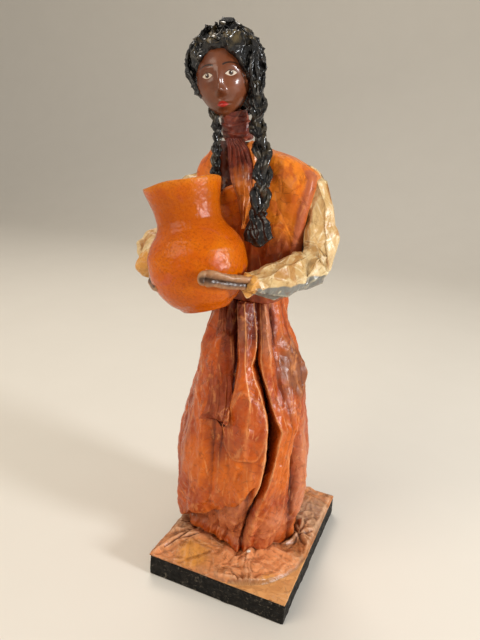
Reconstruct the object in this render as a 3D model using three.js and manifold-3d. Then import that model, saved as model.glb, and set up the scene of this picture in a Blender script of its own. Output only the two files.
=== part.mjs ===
// Papier-mache figure: a woman with two braids who holds a clay pot, on a rectangular block.
// Millimetres, +Z up. X runs along the front edge of the block, the figure looks along -Y,
// and the origin is the centre of the block's underside.
import * as THREE from "three";
import { mergeVertices } from "three/addons/utils/BufferGeometryUtils.js";
import Module from "manifold-3d";

// ---- driving dimensions ----
const BLOCK = { width: 83, depth: 104.3, height: 13.1 };
const GAP = 0.3; // between pieces that touch
const SHEET = { thickness: 0.8, inset: 0.4 };
const SHEET_FOOT = BLOCK.height + GAP;
const SHEET_TOP = SHEET_FOOT + SHEET.thickness;
const HEM = SHEET_TOP + GAP;
const WAIST = 163;
const NECK_HOLE = 243;
const HEAD = { centre: [-26.2, -9.5, 270.6], lean: 9, nod: -6, turn: 15, width: 27.2, depth: 29, height: 36 };
const NECK = { foot: [-20.6, -6.4, 245.4], radius: 6 };
const POT = { foot: [-14.6, -43.2, 164.6], lean: 15.6, nod: -2, wall: 3, lip: 2.2, height: 60.5 };
const PIN = { radius: 1.4, centre: [10.2, -26.5] };

const COLOURS = {
  base_block: [0x14120f, 0.6], base_paper: [0xa8694a, 0.5], skirt: [0xb5532a, 0.4],
  sash_end: [0x9a4a2a, 0.45], bodice: [0xc4571f, 0.4], neck_scarf: [0x5e2a2c, 0.4],
  sleeve: [0xd2a868, 0.4], hand: [0x8a6a4a, 0.45], head: [0x4a2a1c, 0.35],
  hair: [0x0d0d0f, 0.45], pot: [0xd96f1c, 0.35], hem_pin: [0xf0ece4, 0.3],
};

// ---- small maths ----
const radians = (degrees) => (degrees * Math.PI) / 180;
const clamp = (value) => Math.min(1, Math.max(0, value));
const ease = (from, to, value) => {
  const t = clamp((value - from) / (to - from));
  return t * t * (3 - 2 * t);
};
const bell = (value, width) => Math.exp(-((value / width) ** 2));
const mix = (a, b, t) => a + (b - a) * t;

// Smooth track through rows [t, value, value, ...], in rising t, that never overshoots a row.
function track(rows) {
  const last = rows.length - 1;
  const slope = (j, k) => (rows[j + 1][k] - rows[j][k]) / (rows[j + 1][0] - rows[j][0]);
  const tangent = (j, k) => {
    if (j === 0 || j === last) return 0;
    const before = slope(j - 1, k);
    const after = slope(j, k);
    return before * after <= 0 ? 0 : (2 * before * after) / (before + after);
  };
  return (t) => {
    if (t <= rows[0][0]) return rows[0].slice(1);
    if (t >= rows[last][0]) return rows[last].slice(1);
    const j = rows.findIndex((row) => row[0] > t) - 1;
    const step = rows[j + 1][0] - rows[j][0];
    const u = (t - rows[j][0]) / step;
    return rows[j].slice(1).map((value, index) => {
      const k = index + 1;
      const rise = step * (u * (1 - u) ** 2 * tangent(j, k) - u * u * (1 - u) * tangent(j + 1, k));
      return mix(value, rows[j + 1][k], u * u * (3 - 2 * u)) + rise;
    });
  };
}

// ---- closed bodies ----
const wasm = await Module();
wasm.setup();

// three.js has +Y up and +Z to the front; here +Z is up and the front is -Y.
function solid(geometry) {
  const bare = geometry.clone();
  bare.deleteAttribute("normal");
  bare.deleteAttribute("uv");
  const merged = mergeVertices(bare, 1e-4);
  return new wasm.Manifold(new wasm.Mesh({
    numProp: 3,
    vertProperties: new Float32Array(merged.attributes.position.array),
    triVerts: new Uint32Array(merged.index.array),
  }));
}

// A cylinder whose points are placed again by place(turn 0..1, rise 0..1), with flat fans at its ends.
function wrap(around, along, place) {
  const geometry = new THREE.CylinderGeometry(1, 1, 1, around, along);
  const at = geometry.attributes.position;
  const ring = (row) => Array.from({ length: around }, (_, column) => place(column / around, row / along));
  const rings = Array.from({ length: along + 1 }, (_, row) => ring(row));
  const hub = (points) => [0, 1, 2].map((k) => points.reduce((sum, point) => sum + point[k], 0) / around);
  for (let i = 0; i < at.count; i += 1) {
    const row = Math.round((at.getY(i) + 0.5) * along);
    const turn = Math.atan2(at.getX(i), at.getZ(i)) / (2 * Math.PI);
    const column = (Math.round(turn * around) + around) % around;
    const isHub = Math.hypot(at.getX(i), at.getZ(i)) < 0.5;
    at.setXYZ(i, ...(isHub ? hub(rings[row]) : rings[row][column]));
  }
  return solid(geometry);
}

// A limb: rings round a smooth path of [x, y, z, half width, half depth] rows; its front faces -Y.
// dent(turn, rise) is added to the ring's radius.
function limb(rows, around, along, grow = 0, dent = () => 0) {
  const path = track(rows.map((row, index) => [index / (rows.length - 1), ...row]));
  const point = (rise) => new THREE.Vector3(...path(rise).slice(0, 3));
  return wrap(around, along, (turn, rise) => {
    const [x, y, z, width, depth] = path(rise);
    const ahead = point(Math.min(1, rise + 0.02)).sub(point(Math.max(0, rise - 0.02))).normalize();
    const side = new THREE.Vector3().crossVectors(ahead, new THREE.Vector3(0, -1, 0)).normalize();
    const front = new THREE.Vector3().crossVectors(side, ahead);
    const angle = 2 * Math.PI * turn;
    const bump = dent(turn, rise) + grow;
    const end = grow * (rise === 0 ? -1 : rise === 1 ? 1 : 0);
    return new THREE.Vector3(x, y, z)
      .addScaledVector(side, Math.sin(angle) * (width + bump))
      .addScaledVector(front, Math.cos(angle) * (depth + bump))
      .addScaledVector(ahead, end)
      .toArray();
  });
}

// A sheet: a box whose points are placed again by place(across 0..1, up 0..1, out 0..1).
function sheet(across, up, place) {
  const geometry = new THREE.BoxGeometry(1, 1, 1, across, up, 1);
  const at = geometry.attributes.position;
  for (let i = 0; i < at.count; i += 1) {
    at.setXYZ(i, ...place(at.getX(i) + 0.5, at.getY(i) + 0.5, at.getZ(i) + 0.5));
  }
  return solid(geometry);
}

// A ball whose unit directions [side, up, front] are placed again.
function ball(around, along, place) {
  const geometry = new THREE.SphereGeometry(1, around, along);
  const at = geometry.attributes.position;
  for (let i = 0; i < at.count; i += 1) {
    const direction = [at.getX(i), at.getY(i), at.getZ(i)].map((value) => Math.round(value * 1e5) / 1e5);
    at.setXYZ(i, ...place(...direction));
  }
  return solid(geometry);
}

function mesh(name, manifold, look = name) {
  const { vertProperties, triVerts } = manifold.getMesh();
  const indexed = new THREE.BufferGeometry();
  indexed.setAttribute("position", new THREE.BufferAttribute(vertProperties, 3));
  indexed.setIndex(new THREE.BufferAttribute(triVerts, 1));
  const geometry = indexed.toNonIndexed();
  geometry.computeVertexNormals();
  const [color, roughness] = COLOURS[look];
  const made = new THREE.Mesh(geometry, new THREE.MeshStandardMaterial({ color, roughness, metalness: 0 }));
  made.name = name;
  return made;
}

// ---- skirt: crease lines between waist and hem, with flat panels between them ----
// Outline rows: height, centre x, centre y, half width, half depth.
const skirtOutline = track([
  [HEM, -7.5, 3.5, 35.5, 29], [20, -7.5, 2.5, 37.5, 31], [35, -7.2, 1, 40, 34.5], [60, -7, 0, 39.8, 35.5],
  [90, -7, 0, 36.5, 33], [112, -7, 0, 32.5, 29.5], [137, -8.2, 0, 25.8, 24],
  [155, -9, 0, 20.5, 18.5], [WAIST, -9.5, 0, 20, 17],
]);
// Crease rows: height, angle from the front towards the figure's left, distance out from the outline.
const FRONT_CREASES = [
  [[HEM, -88, 0.5], [60, -84, 2], [110, -86, 1], [WAIST, -84, 0.5]],
  [[HEM, -66, -1.5], [60, -66, -1], [110, -68, -1], [WAIST, -66, -1]],
  [[HEM, -44, 0.5], [60, -46, 1.5], [110, -46, 1.5], [WAIST, -44, 1]],
  [[HEM, -22, 0], [55, -20, 2], [90, -23, 3.5], [110, -25, 2], [WAIST, -24, 0.5]],
  [[HEM, -12, -1], [60, -8, -1], [93, -12, -1.5], [110, -14, 0], [WAIST, -14, 0]],
  [[HEM, -4, 0], [45, -3, 0], [95, -2, 0], [106, 1, -2.5], [120, 4, -6], [132, 5, -7],
    [146, 1, -7], [WAIST, -3, -5]],
  [[HEM, 4, -1], [45, 5, -1], [80, 8, 0], [95, 5, 1.5], [107, 5, 1.5], [117, 8, 2], [125, 10, 2],
    [134, 12.5, 1.5], [148, 8, 2], [WAIST, 5, 2]],
  [[HEM, 12.5, 1.5], [25, 12.5, 2], [43, 18, 2.5], [58, 23, 1.5], [66, 23, 0.5], [83, 22, 3],
    [97, 22, 5], [113, 24, 4.5], [123, 20.5, 3], [132, 18, 2], [146, 18, 3.5], [WAIST, 15, 3.5]],
  [[HEM, 19, 0], [30, 23, 0], [47, 28.5, 0], [57, 31.5, 0.5], [66, 36, 1], [80, 39.5, 2],
    [96, 41, 3], [108, 38, 3], [118, 33, 2.5], [125, 27.5, 1.5], [131, 25, 0.5], [138, 30, 1],
    [146, 32, 1.5], [WAIST, 29, 1]],
  [[HEM, 22.5, -4], [26, 25, -5], [47, 31.5, -4.5], [57, 35, -5], [66, 41.5, -6], [74, 49, -8],
    [84, 53.5, -10], [94, 55.5, -11], [103, 51, -11], [113, 45, -10], [123, 39.5, -9],
    [131, 33, -6], [138, 32.5, -2], [150, 34.5, 0], [WAIST, 34, 0]],
  [[HEM, 26, 0], [30, 30, 0.5], [47, 34.5, 0.5], [60, 41, 1.5], [77, 50.5, 2.5], [86, 53, 3.5],
    [95, 54, 5], [106, 47.5, 4], [117, 42, 3], [127, 37, 2], [135, 35, 1.5], [146, 37, 1.5],
    [WAIST, 38, 2]],
  [[HEM, 38, 1], [45, 42, 2], [66, 50, 1.5], [77, 57, 1], [95, 61, 1.5], [106, 56, 1.5],
    [117, 50, 1.5], [127, 46.5, 2], [136, 44.5, 3], [146, 43, 3.5], [WAIST, 43, 3.5]],
  [[HEM, 50, 0], [45, 52, 0], [77, 62, 0.5], [95, 64.5, 2], [106, 63, 0.5], [117, 58, 0],
    [127, 56, 0], [137, 55.5, -2.5], [150, 57, -3.5], [WAIST, 58, -3.5]],
  [[HEM, 62, 0], [40, 62, 1.5], [56, 63, 1.5], [77, 67, 1], [87, 68, 2], [95, 69, 4],
    [104, 77, 4], [112, 85, 3.5], [125, 82, 1], [137, 77, 1.5], [150, 73, 1.5], [WAIST, 73, 0]],
  [[HEM, 76, 0], [30, 76, -2.5], [55, 75.5, -4.5], [72, 73.5, -4], [80, 76, -1], [90, 79, 0],
    [104, 84.5, 1], [112, 90, 2], [125, 89, 2], [137, 85, 1.5], [WAIST, 84, -0.5]],
  [[HEM, 92, 0], [40, 88, 1], [70, 86, 1.5], [98, 91, 1], [112, 95, 2.5], [122, 96, 4.5],
    [137, 97, 1.5], [150, 98, 0], [WAIST, 98, -1]],
];
const BACK = { count: 9, from: 114, to: 254, least: 1, most: 3 };
const backCrease = (index) => {
  const angle = mix(BACK.from, BACK.to, index / (BACK.count - 1));
  const side = index % 2 === 0 ? 1 : -1;
  return [0, 1, 2, 3, 4].map((station) => {
    const fall = station / 4;
    const depth = side * mix(BACK.most, BACK.least, fall) * (0.8 + 0.3 * Math.sin(2.1 * index + 1.7 * station));
    return [mix(HEM, WAIST, fall), angle + 4 * Math.sin(1.3 * index + 1.9 * station), depth];
  });
};
const creases = [...FRONT_CREASES, ...Array.from({ length: BACK.count }, (_, index) => backCrease(index))]
  .map(track);
const PANEL_STEPS = [2, 2, 2, 1, 1, 2, 1, 1, 1, 1, 1, 2, 2, 1, 2, 2, 2, 2, 2, 2, 2, 2, 2, 2, 2];
const SKIRT_AROUND = PANEL_STEPS.reduce((sum, steps) => sum + steps, 0);
const panelOf = PANEL_STEPS.flatMap((steps, panel) =>
  Array.from({ length: steps }, (_, step) => [panel, step / steps]));

// The puffed lower left front ends in a tucked edge; rows: angle, height of the edge.
const tuckEdge = track([
  [-118, 17], [-70, 18], [-52, 24], [-38, 32], [-25, 38], [-8, 42], [7, 48], [20, 56], [29, 64],
]);
const TUCK = { depth: 6, roll: 1.6, from: -118, to: 33 };
// The raised oval panel on the front: angle, height, half angle, half height, how far it stands out.
const OVAL = { angle: 21, height: 98, halfAngle: 21, halfHeight: 20, out: 2 };

function skirtRadius(angle, height, offset, outline) {
  const [, , width, depth] = outline;
  const ellipse = 1 / Math.hypot(Math.sin(radians(angle)) / width, Math.cos(radians(angle)) / depth);
  const edge = tuckEdge(angle)[0];
  const inside = ease(TUCK.from, TUCK.from + 25, angle) * (1 - ease(TUCK.to - 6, TUCK.to, angle));
  const tuck = TUCK.depth * (1 - ease(edge - 5, edge, height)) * ease(HEM, HEM + 8, height);
  const roll = TUCK.roll * bell(height - edge - 5, 8);
  const oval = Math.hypot((angle - OVAL.angle) / OVAL.halfAngle, (height - OVAL.height) / OVAL.halfHeight);
  return ellipse + offset + inside * (roll - tuck) + OVAL.out * (1 - ease(0.8, 1, oval));
}

function skirtPoint(turn, rise, grow = 0) {
  const height = mix(HEM, WAIST, rise);
  const [panel, share] = panelOf[Math.round(turn * SKIRT_AROUND) % SKIRT_AROUND];
  const [fromAngle, fromOut] = creases[panel](height);
  const [nextAngle, toOut] = creases[(panel + 1) % creases.length](height);
  const toAngle = nextAngle < fromAngle ? nextAngle + 360 : nextAngle;
  const angle = mix(fromAngle, toAngle, share);
  const outline = skirtOutline(height);
  const radius = skirtRadius(angle, height, mix(fromOut, toOut, share), outline) + grow;
  const lift = grow * (rise === 0 ? -1 : rise === 1 ? 1 : 0);
  return [
    outline[0] + radius * Math.sin(radians(angle)),
    outline[1] - radius * Math.cos(radians(angle)),
    height + lift,
  ];
}
const SKIRT_ROWS = 27;
const skirt = (grow = 0) => wrap(SKIRT_AROUND, SKIRT_ROWS, (turn, rise) => skirtPoint(turn, rise, grow));

// Point on the skirt at a free angle, for pieces that lie on it.
function onSkirt(angle, height, out) {
  const tracks = creases.map((crease) => crease(height));
  const panel = tracks.findIndex((here, index) => {
    const next = tracks[(index + 1) % tracks.length][0];
    return angle >= here[0] && angle <= (next < here[0] ? next + 360 : next);
  });
  const here = tracks[panel];
  const next = tracks[(panel + 1) % tracks.length];
  const offset = mix(here[1], next[1], (angle - here[0]) / (next[0] - here[0]));
  const outline = skirtOutline(height);
  const radius = skirtRadius(angle, height, offset, outline) + out;
  return [
    outline[0] + radius * Math.sin(radians(angle)),
    outline[1] - radius * Math.cos(radians(angle)),
    height,
  ];
}

// ---- block and the sheet over it ----
function block() {
  const { width, depth, height } = BLOCK;
  const outline = new THREE.Shape()
    .moveTo(-width / 2, -depth / 2)
    .lineTo(width / 2, -depth / 2)
    .lineTo(width / 2, depth / 2)
    .lineTo(-width / 2, depth / 2);
  return solid(new THREE.ExtrudeGeometry(outline, { depth: height, bevelEnabled: false }));
}

// Wrinkles of the sheet: start x, y, end x, y, height, width of each raised crease.
const WRINKLES = [
  [-41, -52, -24, -16, 2.6, 4], [-38, -30, -24, -12, 2.4, 3.5], [-40, -8, -28, -2, 2.6, 3.5],
  [10, -26, 17, -51, 1.8, 3], [8, -26, 4, -50, 1.6, 3], [30, 4, 41, -6, 2.2, 3.5],
  [30, 22, 41, 30, 2, 3.5], [-20, 36, -36, 50, 2, 4], [12, 36, 26, 51, 2, 4],
];
function wrinkle(x, y) {
  return WRINKLES.reduce((sum, [ax, ay, bx, by, height, width]) => {
    const length = (bx - ax) ** 2 + (by - ay) ** 2;
    const t = clamp(((x - ax) * (bx - ax) + (y - ay) * (by - ay)) / length);
    const away = Math.hypot(x - mix(ax, bx, t), y - mix(ay, by, t));
    return sum + height * Math.max(0, 1 - away / width);
  }, 0);
}
function paperSheet() {
  const width = BLOCK.width - 2 * SHEET.inset;
  const depth = BLOCK.depth - 2 * SHEET.inset;
  return sheet(10, 12, (across, up, out) => {
    const x = (across - 0.5) * width;
    const y = (up - 0.5) * depth;
    const rim = Math.min(across, 1 - across, up, 1 - up);
    return [x, y, out ? SHEET_TOP + wrinkle(x, y) * ease(0, 0.03, rim) : SHEET_FOOT];
  }).subtract(skirt(GAP)).subtract(pinHead(GAP));
}

// ---- pleated strip on the skirt ----
// Rows: height, left edge angle, right edge angle.
const strip = track([[100, -21, 3], [104, -19, 3], [130, -17, -1], [150, -20, -8], [160, -22, -10]]);
const STRIP = { foot: 100, top: 160, thickness: 2.2, pleats: 3, end: 6 };
function sashEnd() {
  return sheet(4, 7, (across, up, out) => {
    const height = mix(STRIP.foot, STRIP.top, up);
    const [left, right] = strip(height);
    const pleat = 0.7 * Math.abs(Math.sin(Math.PI * STRIP.pleats * across));
    const gather = 1.6 * (1 - ease(STRIP.foot, STRIP.foot + STRIP.end, height));
    return onSkirt(mix(left, right, across), height, out ? GAP + STRIP.thickness + pleat + gather : -0.5);
  }).subtract(skirt(GAP));
}

// ---- bodice ----
// Rows: height, centre x, centre y, half width, half depth.
const bodiceOutline = track([
  [WAIST + GAP, -9.6, 0, 20.5, 16], [172, -7.4, 0, 26, 16.5], [190, -9, 0, 29, 15.5],
  [204, -9.2, 0, 30, 15.5], [216, -9.2, -0.5, 32.8, 15], [226, -8.8, -1, 33.6, 13.5],
  [231, -9.6, -1.5, 30.5, 12.5], [235, -11, -2.5, 25, 12], [239, -15, -4, 17, 10.5], [NECK_HOLE - GAP, -20.8, -5.5, 8.4, 7.5],
]);
// The open neck: rows of height, left and right edge as x.
const opening = track([[214, -25.2, -24.6], [219, -26, -21], [226, -26.6, -9], [240, -28, -12]]);
const OPENING_DEPTH = 2.4;
const BODICE_SQUARE = 0.66; // 1 is an ellipse, less is boxier
function bodicePoint(turn, rise, grow) {
  const height = mix(WAIST + GAP, NECK_HOLE - GAP, rise);
  const [x, y, width, depth] = bodiceOutline(height);
  const angle = 2 * Math.PI * turn;
  const square = (value) => Math.sign(value) * Math.abs(value) ** BODICE_SQUARE;
  const side = x + square(Math.sin(angle)) * (width + grow);
  const front = Math.cos(angle) > 0;
  const [left, right] = opening(height);
  const open = front ? ease(left - 0.8, left + 0.8, side) * (1 - ease(right - 0.8, right + 0.8, side)) : 0;
  const fold = front ? 0.8 * Math.sin(0.33 * side + 0.05 * height) : 0.9 * Math.sin(0.4 * side);
  const deep = depth + grow + fold - OPENING_DEPTH * open * ease(214, 219, height);
  const lift = grow * (rise === 0 ? -1 : rise === 1 ? 1 : 0);
  return [side, y - square(Math.cos(angle)) * deep, height + lift];
}
const bodice = (grow = 0) => wrap(26, 13, (turn, rise) => bodicePoint(turn, rise, grow));

// ---- pot: a thrown shape, open at the top ----
// Outside rows: height above the foot, radius.
const potOutside = track([
  [0, 12], [5, 17.2], [12, 21.8], [20, 24], [27, 23.8], [34, 20.8], [39, 17], [43, 15.6],
  [48, 15.9], [54, 17.3], [POT.height, 18.8],
]);
function turned(profile, segments) {
  const points = profile.map(([height, radius]) => new THREE.Vector2(radius, height));
  const axis = [radians(POT.nod), radians(POT.lean)];
  return solid(new THREE.LatheGeometry(points, segments)
    .rotateX(Math.PI / 2).rotateX(axis[0]).rotateY(-axis[1]).translate(...POT.foot));
}
const POT_SIDES = 22;
const climb = (from, to, steps, radius) =>
  Array.from({ length: steps + 1 }, (_, index) => {
    const height = mix(from, to, index / steps);
    return [height, radius(height)];
  });
const potShell = (grow) => turned([
  [-grow, 0],
  ...climb(0, POT.height, 12, (height) => potOutside(height)[0] + grow).map(([height, radius], index) =>
    [index === 0 ? -grow : height, radius]),
  [POT.height + grow, 0],
], POT_SIDES);
function pot() {
  const inside = climb(POT.wall, POT.height, 8, (height) =>
    potOutside(height)[0] - mix(POT.wall, POT.lip, height / POT.height));
  inside[0] = [POT.wall, potOutside(POT.wall)[0] - POT.wall - 2];
  return turned([
    [0, 0],
    ...climb(0, POT.height, 12, (height) => potOutside(height)[0]),
    ...inside.reverse(),
    [POT.wall, 0],
  ], POT_SIDES);
}

// ---- sleeves and hands ----
const crumple = (seed, size) => (turn, rise) =>
  size * Math.sin(2 * Math.PI * (2 * turn + 1.7 * rise + seed)) * Math.cos(2 * Math.PI * (3.3 * rise - turn + seed));
const LEFT_ARM = [
  [13, 0, 231.5, 4, 4.5], [19, 0, 227, 6.6, 6], [23.5, 0, 214, 7.2, 7], [26.5, -1, 201, 7.4, 8],
  [28, -5, 188.5, 8.4, 9.2], [24, -19, 182.5, 9, 9.2], [16.5, -33, 181, 8.2, 8.4], [10.6, -45, 180.8, 5.8, 5.8],
  [8.4, -51, 181.8, 4.6, 4.6],
];
const RIGHT_ARM = [
  [-36, -3, 226, 4, 6], [-41, -3, 221, 6.6, 7.5], [-48, -4, 210, 7.2, 7.5], [-53, -6, 199, 7.4, 8],
  [-56, -10, 190.5, 8.2, 8.8], [-56.5, -20, 186, 8.4, 8.6], [-53.5, -30, 182, 7.4, 7.6], [-50, -37.5, 178.5, 5.2, 5.2],
];
const LEFT_HAND = [
  [11, -47, 181.6, 3, 2.8], [8, -51.5, 182.4, 3.4, 2.9], [2, -60.5, 184.4, 3.5, 2.9],
  [-2.8, -65.6, 185.3, 3.5, 2.7], [-5.8, -67.8, 185.7, 3, 2.2],
];
const RIGHT_HAND = [
  [-50, -32, 178.5, 3, 2.6], [-47.5, -39, 177, 3.4, 2.8], [-43.5, -47, 176.5, 3.5, 2.8],
  [-38, -54, 176.5, 3.4, 2.6], [-34, -58, 176.5, 3, 2.2],
];
const ARM_CRUMPLE = { left: crumple(0.1, 1.1), right: crumple(0.6, 1.1) };
const leftHand = (grow) => limb(LEFT_HAND, 10, 7, grow);
const rightHand = (grow) => limb(RIGHT_HAND, 10, 7, grow);
const sleeve = (rows, hand, dent) =>
  limb(rows, 12, 11, 0, dent).subtract(bodice(GAP)).subtract(hand(GAP)).subtract(potShell(GAP));

// ---- head, hair, braids, scarf ----
// Frame of a head or of hair: turned about Z, then leaned to the side, then nodded.
function turnedFrame({ centre, lean, nod, turn }) {
  const matrix = new THREE.Matrix4().makeTranslation(...centre)
    .multiply(new THREE.Matrix4().makeRotationZ(radians(turn)))
    .multiply(new THREE.Matrix4().makeRotationY(-radians(lean)))
    .multiply(new THREE.Matrix4().makeRotationX(radians(nod)));
  return (x, front, up) => new THREE.Vector3(x, -front, up).applyMatrix4(matrix).toArray();
}
const toHead = turnedFrame(HEAD);

// Relief of the face in head sizes: side, up, spread sideways, spread up, how far it stands out.
// Eyes lie at half the height, the nose ends midway between eyes and chin, the mouth a third below it.
const FACE = [
  { side: 0, up: -0.12, wide: 0.075, tall: 0.17, out: 0.075 },
  { side: 0, up: -0.2, wide: 0.11, tall: 0.07, out: 0.055 },
  { side: 0, up: -0.33, wide: 0.15, tall: 0.045, out: 0.035 },
  { side: 0, up: -0.46, wide: 0.16, tall: 0.08, out: 0.03 },
  { side: 0.2, up: 0.0, wide: 0.12, tall: 0.06, out: -0.03 },
  { side: -0.2, up: 0.0, wide: 0.12, tall: 0.06, out: -0.03 },
  { side: 0.2, up: 0.1, wide: 0.16, tall: 0.05, out: 0.02 },
  { side: -0.2, up: 0.1, wide: 0.16, tall: 0.05, out: 0.02 },
];
function headPoint(side, up, front, grow) {
  const narrow = 1 - 0.24 * ease(-0.1, -1, up) - 0.04 * ease(0.4, 1, up);
  const x = side * (HEAD.width / 2 * narrow + grow);
  const z = up * (HEAD.height / 2 + grow);
  const relief = FACE.reduce((sum, spot) => sum + spot.out
    * bell(x / HEAD.width - spot.side, spot.wide) * bell(z / HEAD.height - spot.up, spot.tall), 0);
  const y = front * (HEAD.depth / 2 * (front > 0 ? mix(1, 0.9, ease(0.2, -1, up)) : 1) + grow)
    + relief * HEAD.depth * ease(0, 0.5, front);
  return toHead(x, y, z);
}
const skull = (grow) => ball(18, 15, (side, up, front) => headPoint(side, up, front, grow));
const neck = (grow) => limb([
  [...NECK.foot, NECK.radius, NECK.radius],
  [-21.5, -7.5, 252, NECK.radius - 0.3, NECK.radius - 0.3],
  [-23.5, -8, 262, NECK.radius - 0.3, NECK.radius - 0.3],
], 12, 2, grow);
const head = (grow = 0) => skull(grow).add(neck(grow)).subtract(bodice(GAP));

const HAIR = {
  centre: [-25, -9.5, 273.5], lean: 13, nod: 6, turn: 0, width: 41, depth: 37, height: 42.2,
  side: -0.8, up: 1.8, back: 2.5, square: 0.86, taper: 0.15,
};
const toHair = turnedFrame(HAIR);
// Opening for the face in hair coordinates: middle, half width, top, bottom.
const FACE_OPENING = { middle: 0.8, half: 13, top: 11.6, bottom: -30 };
const lump = (x, y, z) => Math.sin(0.62 * x + 1.1) * Math.sin(0.55 * y + 0.4) + 0.7 * Math.sin(0.5 * z + 0.3 * x);
const hairCap = (grow) => ball(20, 15, (side, up, front) => {
  const long = up < 0 ? 1.06 : 1;
  const wide = Math.sign(side) * Math.abs(side) ** HAIR.square;
  const x = wide * (HAIR.width / 2 * (1 - HAIR.taper * ease(0.1, -1, up)) + grow) + HAIR.side;
  const y = front * (HAIR.depth / 2 + grow) - HAIR.back;
  const z = up * (HAIR.height / 2 * long + grow) + HAIR.up;
  const rough = 1 + 0.028 * lump(x, y, z);
  return toHair(x * rough, y * rough, z * rough);
});
function hair() {
  const face = wrap(14, 1, (turn, rise) => {
    const angle = 2 * Math.PI * turn;
    const middle = (FACE_OPENING.top + FACE_OPENING.bottom) / 2;
    const half = (FACE_OPENING.top - FACE_OPENING.bottom) / 2;
    const x = FACE_OPENING.middle - FACE_OPENING.half * Math.sin(angle) * (1 + 0.12 * rise);
    const z = middle + half * Math.sign(Math.cos(angle)) * Math.abs(Math.cos(angle)) ** 0.6;
    return toHair(x, mix(1, 30, rise), z);
  });
  return hairCap(0).subtract(face).subtract(head(GAP)).subtract(wound(GAP));
}

// Braids: rows of centre and half widths; lobes repeat along them.
const twist = (lobes, size) => (turn, rise) => size * Math.sin(2 * Math.PI * (lobes * rise + turn));
const LEFT_BRAID = [
  [4.6, -28, 197, 8.6, 2.8], [3.4, -27, 203, 7.6, 3], [2.1, -25, 211, 5.6, 3.2], [2.4, -23, 222, 5, 3.4],
  [1.2, -20.5, 233, 4.6, 3.4], [-1.4, -17.5, 241, 4.4, 3.6], [-5.2, -14, 250, 4.4, 3.8],
  [-7.8, -10, 263, 4.8, 4], [-8.6, -9, 273, 3.6, 3.4],
];
const RIGHT_BRAID = [
  [-24.4, -18.4, 211, 3, 1.8], [-24.6, -18.4, 218, 2.6, 1.8], [-24.8, -18, 233, 2.4, 1.9],
  [-25, -16.8, 244, 2.3, 2], [-28.4, -14, 254, 2.4, 2.2], [-33.4, -10.5, 264, 3, 2.6],
];
const braid = (rows, lobes, size) => limb(rows, 8, 18, 0, twist(lobes, size));

// Scarf: rings round the neck, then two pleated ends on the chest.
const SCARF = [
  [-18, -5.8, 243.2, 7.4, 7.8], [-18.6, -6.4, 247, 7.4, 7.8], [-20, -7, 252, 7.4, 7.6], [-21, -7.6, 256.5, 7.2, 7.4],
];
const SCARF_ENDS = { top: 244, foot: 201, lie: 236, thickness: 2, pleat: 0.6, root: 4 };
// Rows: height, left and right edge of the two ends as x.
const scarfEdges = track([
  [201, -9.8, -7.8], [206, -10.6, -6.6], [213, -12.3, -5.8], [220, -14.6, -5.4], [226, -17.4, -5.6],
  [232, -19, -6], [239, -19.6, -8.4], [244, -21, -13],
]);
const wound = (grow) =>
  limb(SCARF, 12, 5, grow, (turn, rise) => 0.55 * Math.sin(2 * Math.PI * (3.2 * rise + turn)));
function scarf() {
  const ends = sheet(4, 7, (across, up, out) => {
    const height = mix(SCARF_ENDS.foot, SCARF_ENDS.top, up);
    const [, y, , depth] = bodiceOutline(Math.min(height, SCARF_ENDS.lie));
    const [left, right] = scarfEdges(height);
    const pleat = SCARF_ENDS.pleat * Math.abs(Math.sin(3 * Math.PI * across));
    const front = y - depth - GAP;
    return [
      mix(left, right, across),
      out ? front - SCARF_ENDS.thickness - pleat : front + SCARF_ENDS.root,
      height,
    ];
  });
  return wound(0).add(ends).subtract(bodice(GAP)).subtract(head(GAP));
}

// ---- pin at the hem ----
const pinHead = (grow) => ball(8, 6, (side, up, front) => [
  PIN.centre[0] + side * (PIN.radius + grow),
  PIN.centre[1] - front * (PIN.radius + grow),
  SHEET_TOP + GAP + PIN.radius + up * (PIN.radius + grow),
]);

// ---- the figure ----
const pieces = new THREE.Group();
const hangingBraid = (rows, lobes, size) => braid(rows, lobes, size)
  .subtract(hairCap(GAP)).subtract(head(GAP)).subtract(wound(GAP)).subtract(bodice(GAP)).subtract(potShell(GAP));
pieces.add(
  mesh("base_block", block()),
  mesh("base_paper", paperSheet()),
  mesh("skirt", skirt()),
  mesh("sash_end", sashEnd()),
  mesh("bodice", bodice()),
  mesh("neck_scarf", scarf()),
  mesh("left_sleeve", sleeve(LEFT_ARM, leftHand, ARM_CRUMPLE.left), "sleeve"),
  mesh("right_sleeve", sleeve(RIGHT_ARM, rightHand, ARM_CRUMPLE.right), "sleeve"),
  mesh("left_hand", leftHand(0).subtract(potShell(GAP)), "hand"),
  mesh("right_hand", rightHand(0).subtract(potShell(GAP)), "hand"),
  mesh("head", head()),
  mesh("hair", hair()),
  mesh("left_braid", hangingBraid(LEFT_BRAID, 5, 0.7), "hair"),
  mesh("right_braid", hangingBraid(RIGHT_BRAID, 6, 0.5), "hair"),
  mesh("pot", pot()),
  mesh("hem_pin", pinHead(0).subtract(skirt(GAP))),
);
export default pieces;
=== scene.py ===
# Looks of a papier-mache figure: a woman in a folded paper dress who holds a clay pot.
# Shapes are worked out in millimetres, in the part's own frame, and scaled to metres when a piece is made.
import math

import bpy
import numpy as np
from mathutils import Matrix, Vector


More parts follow.
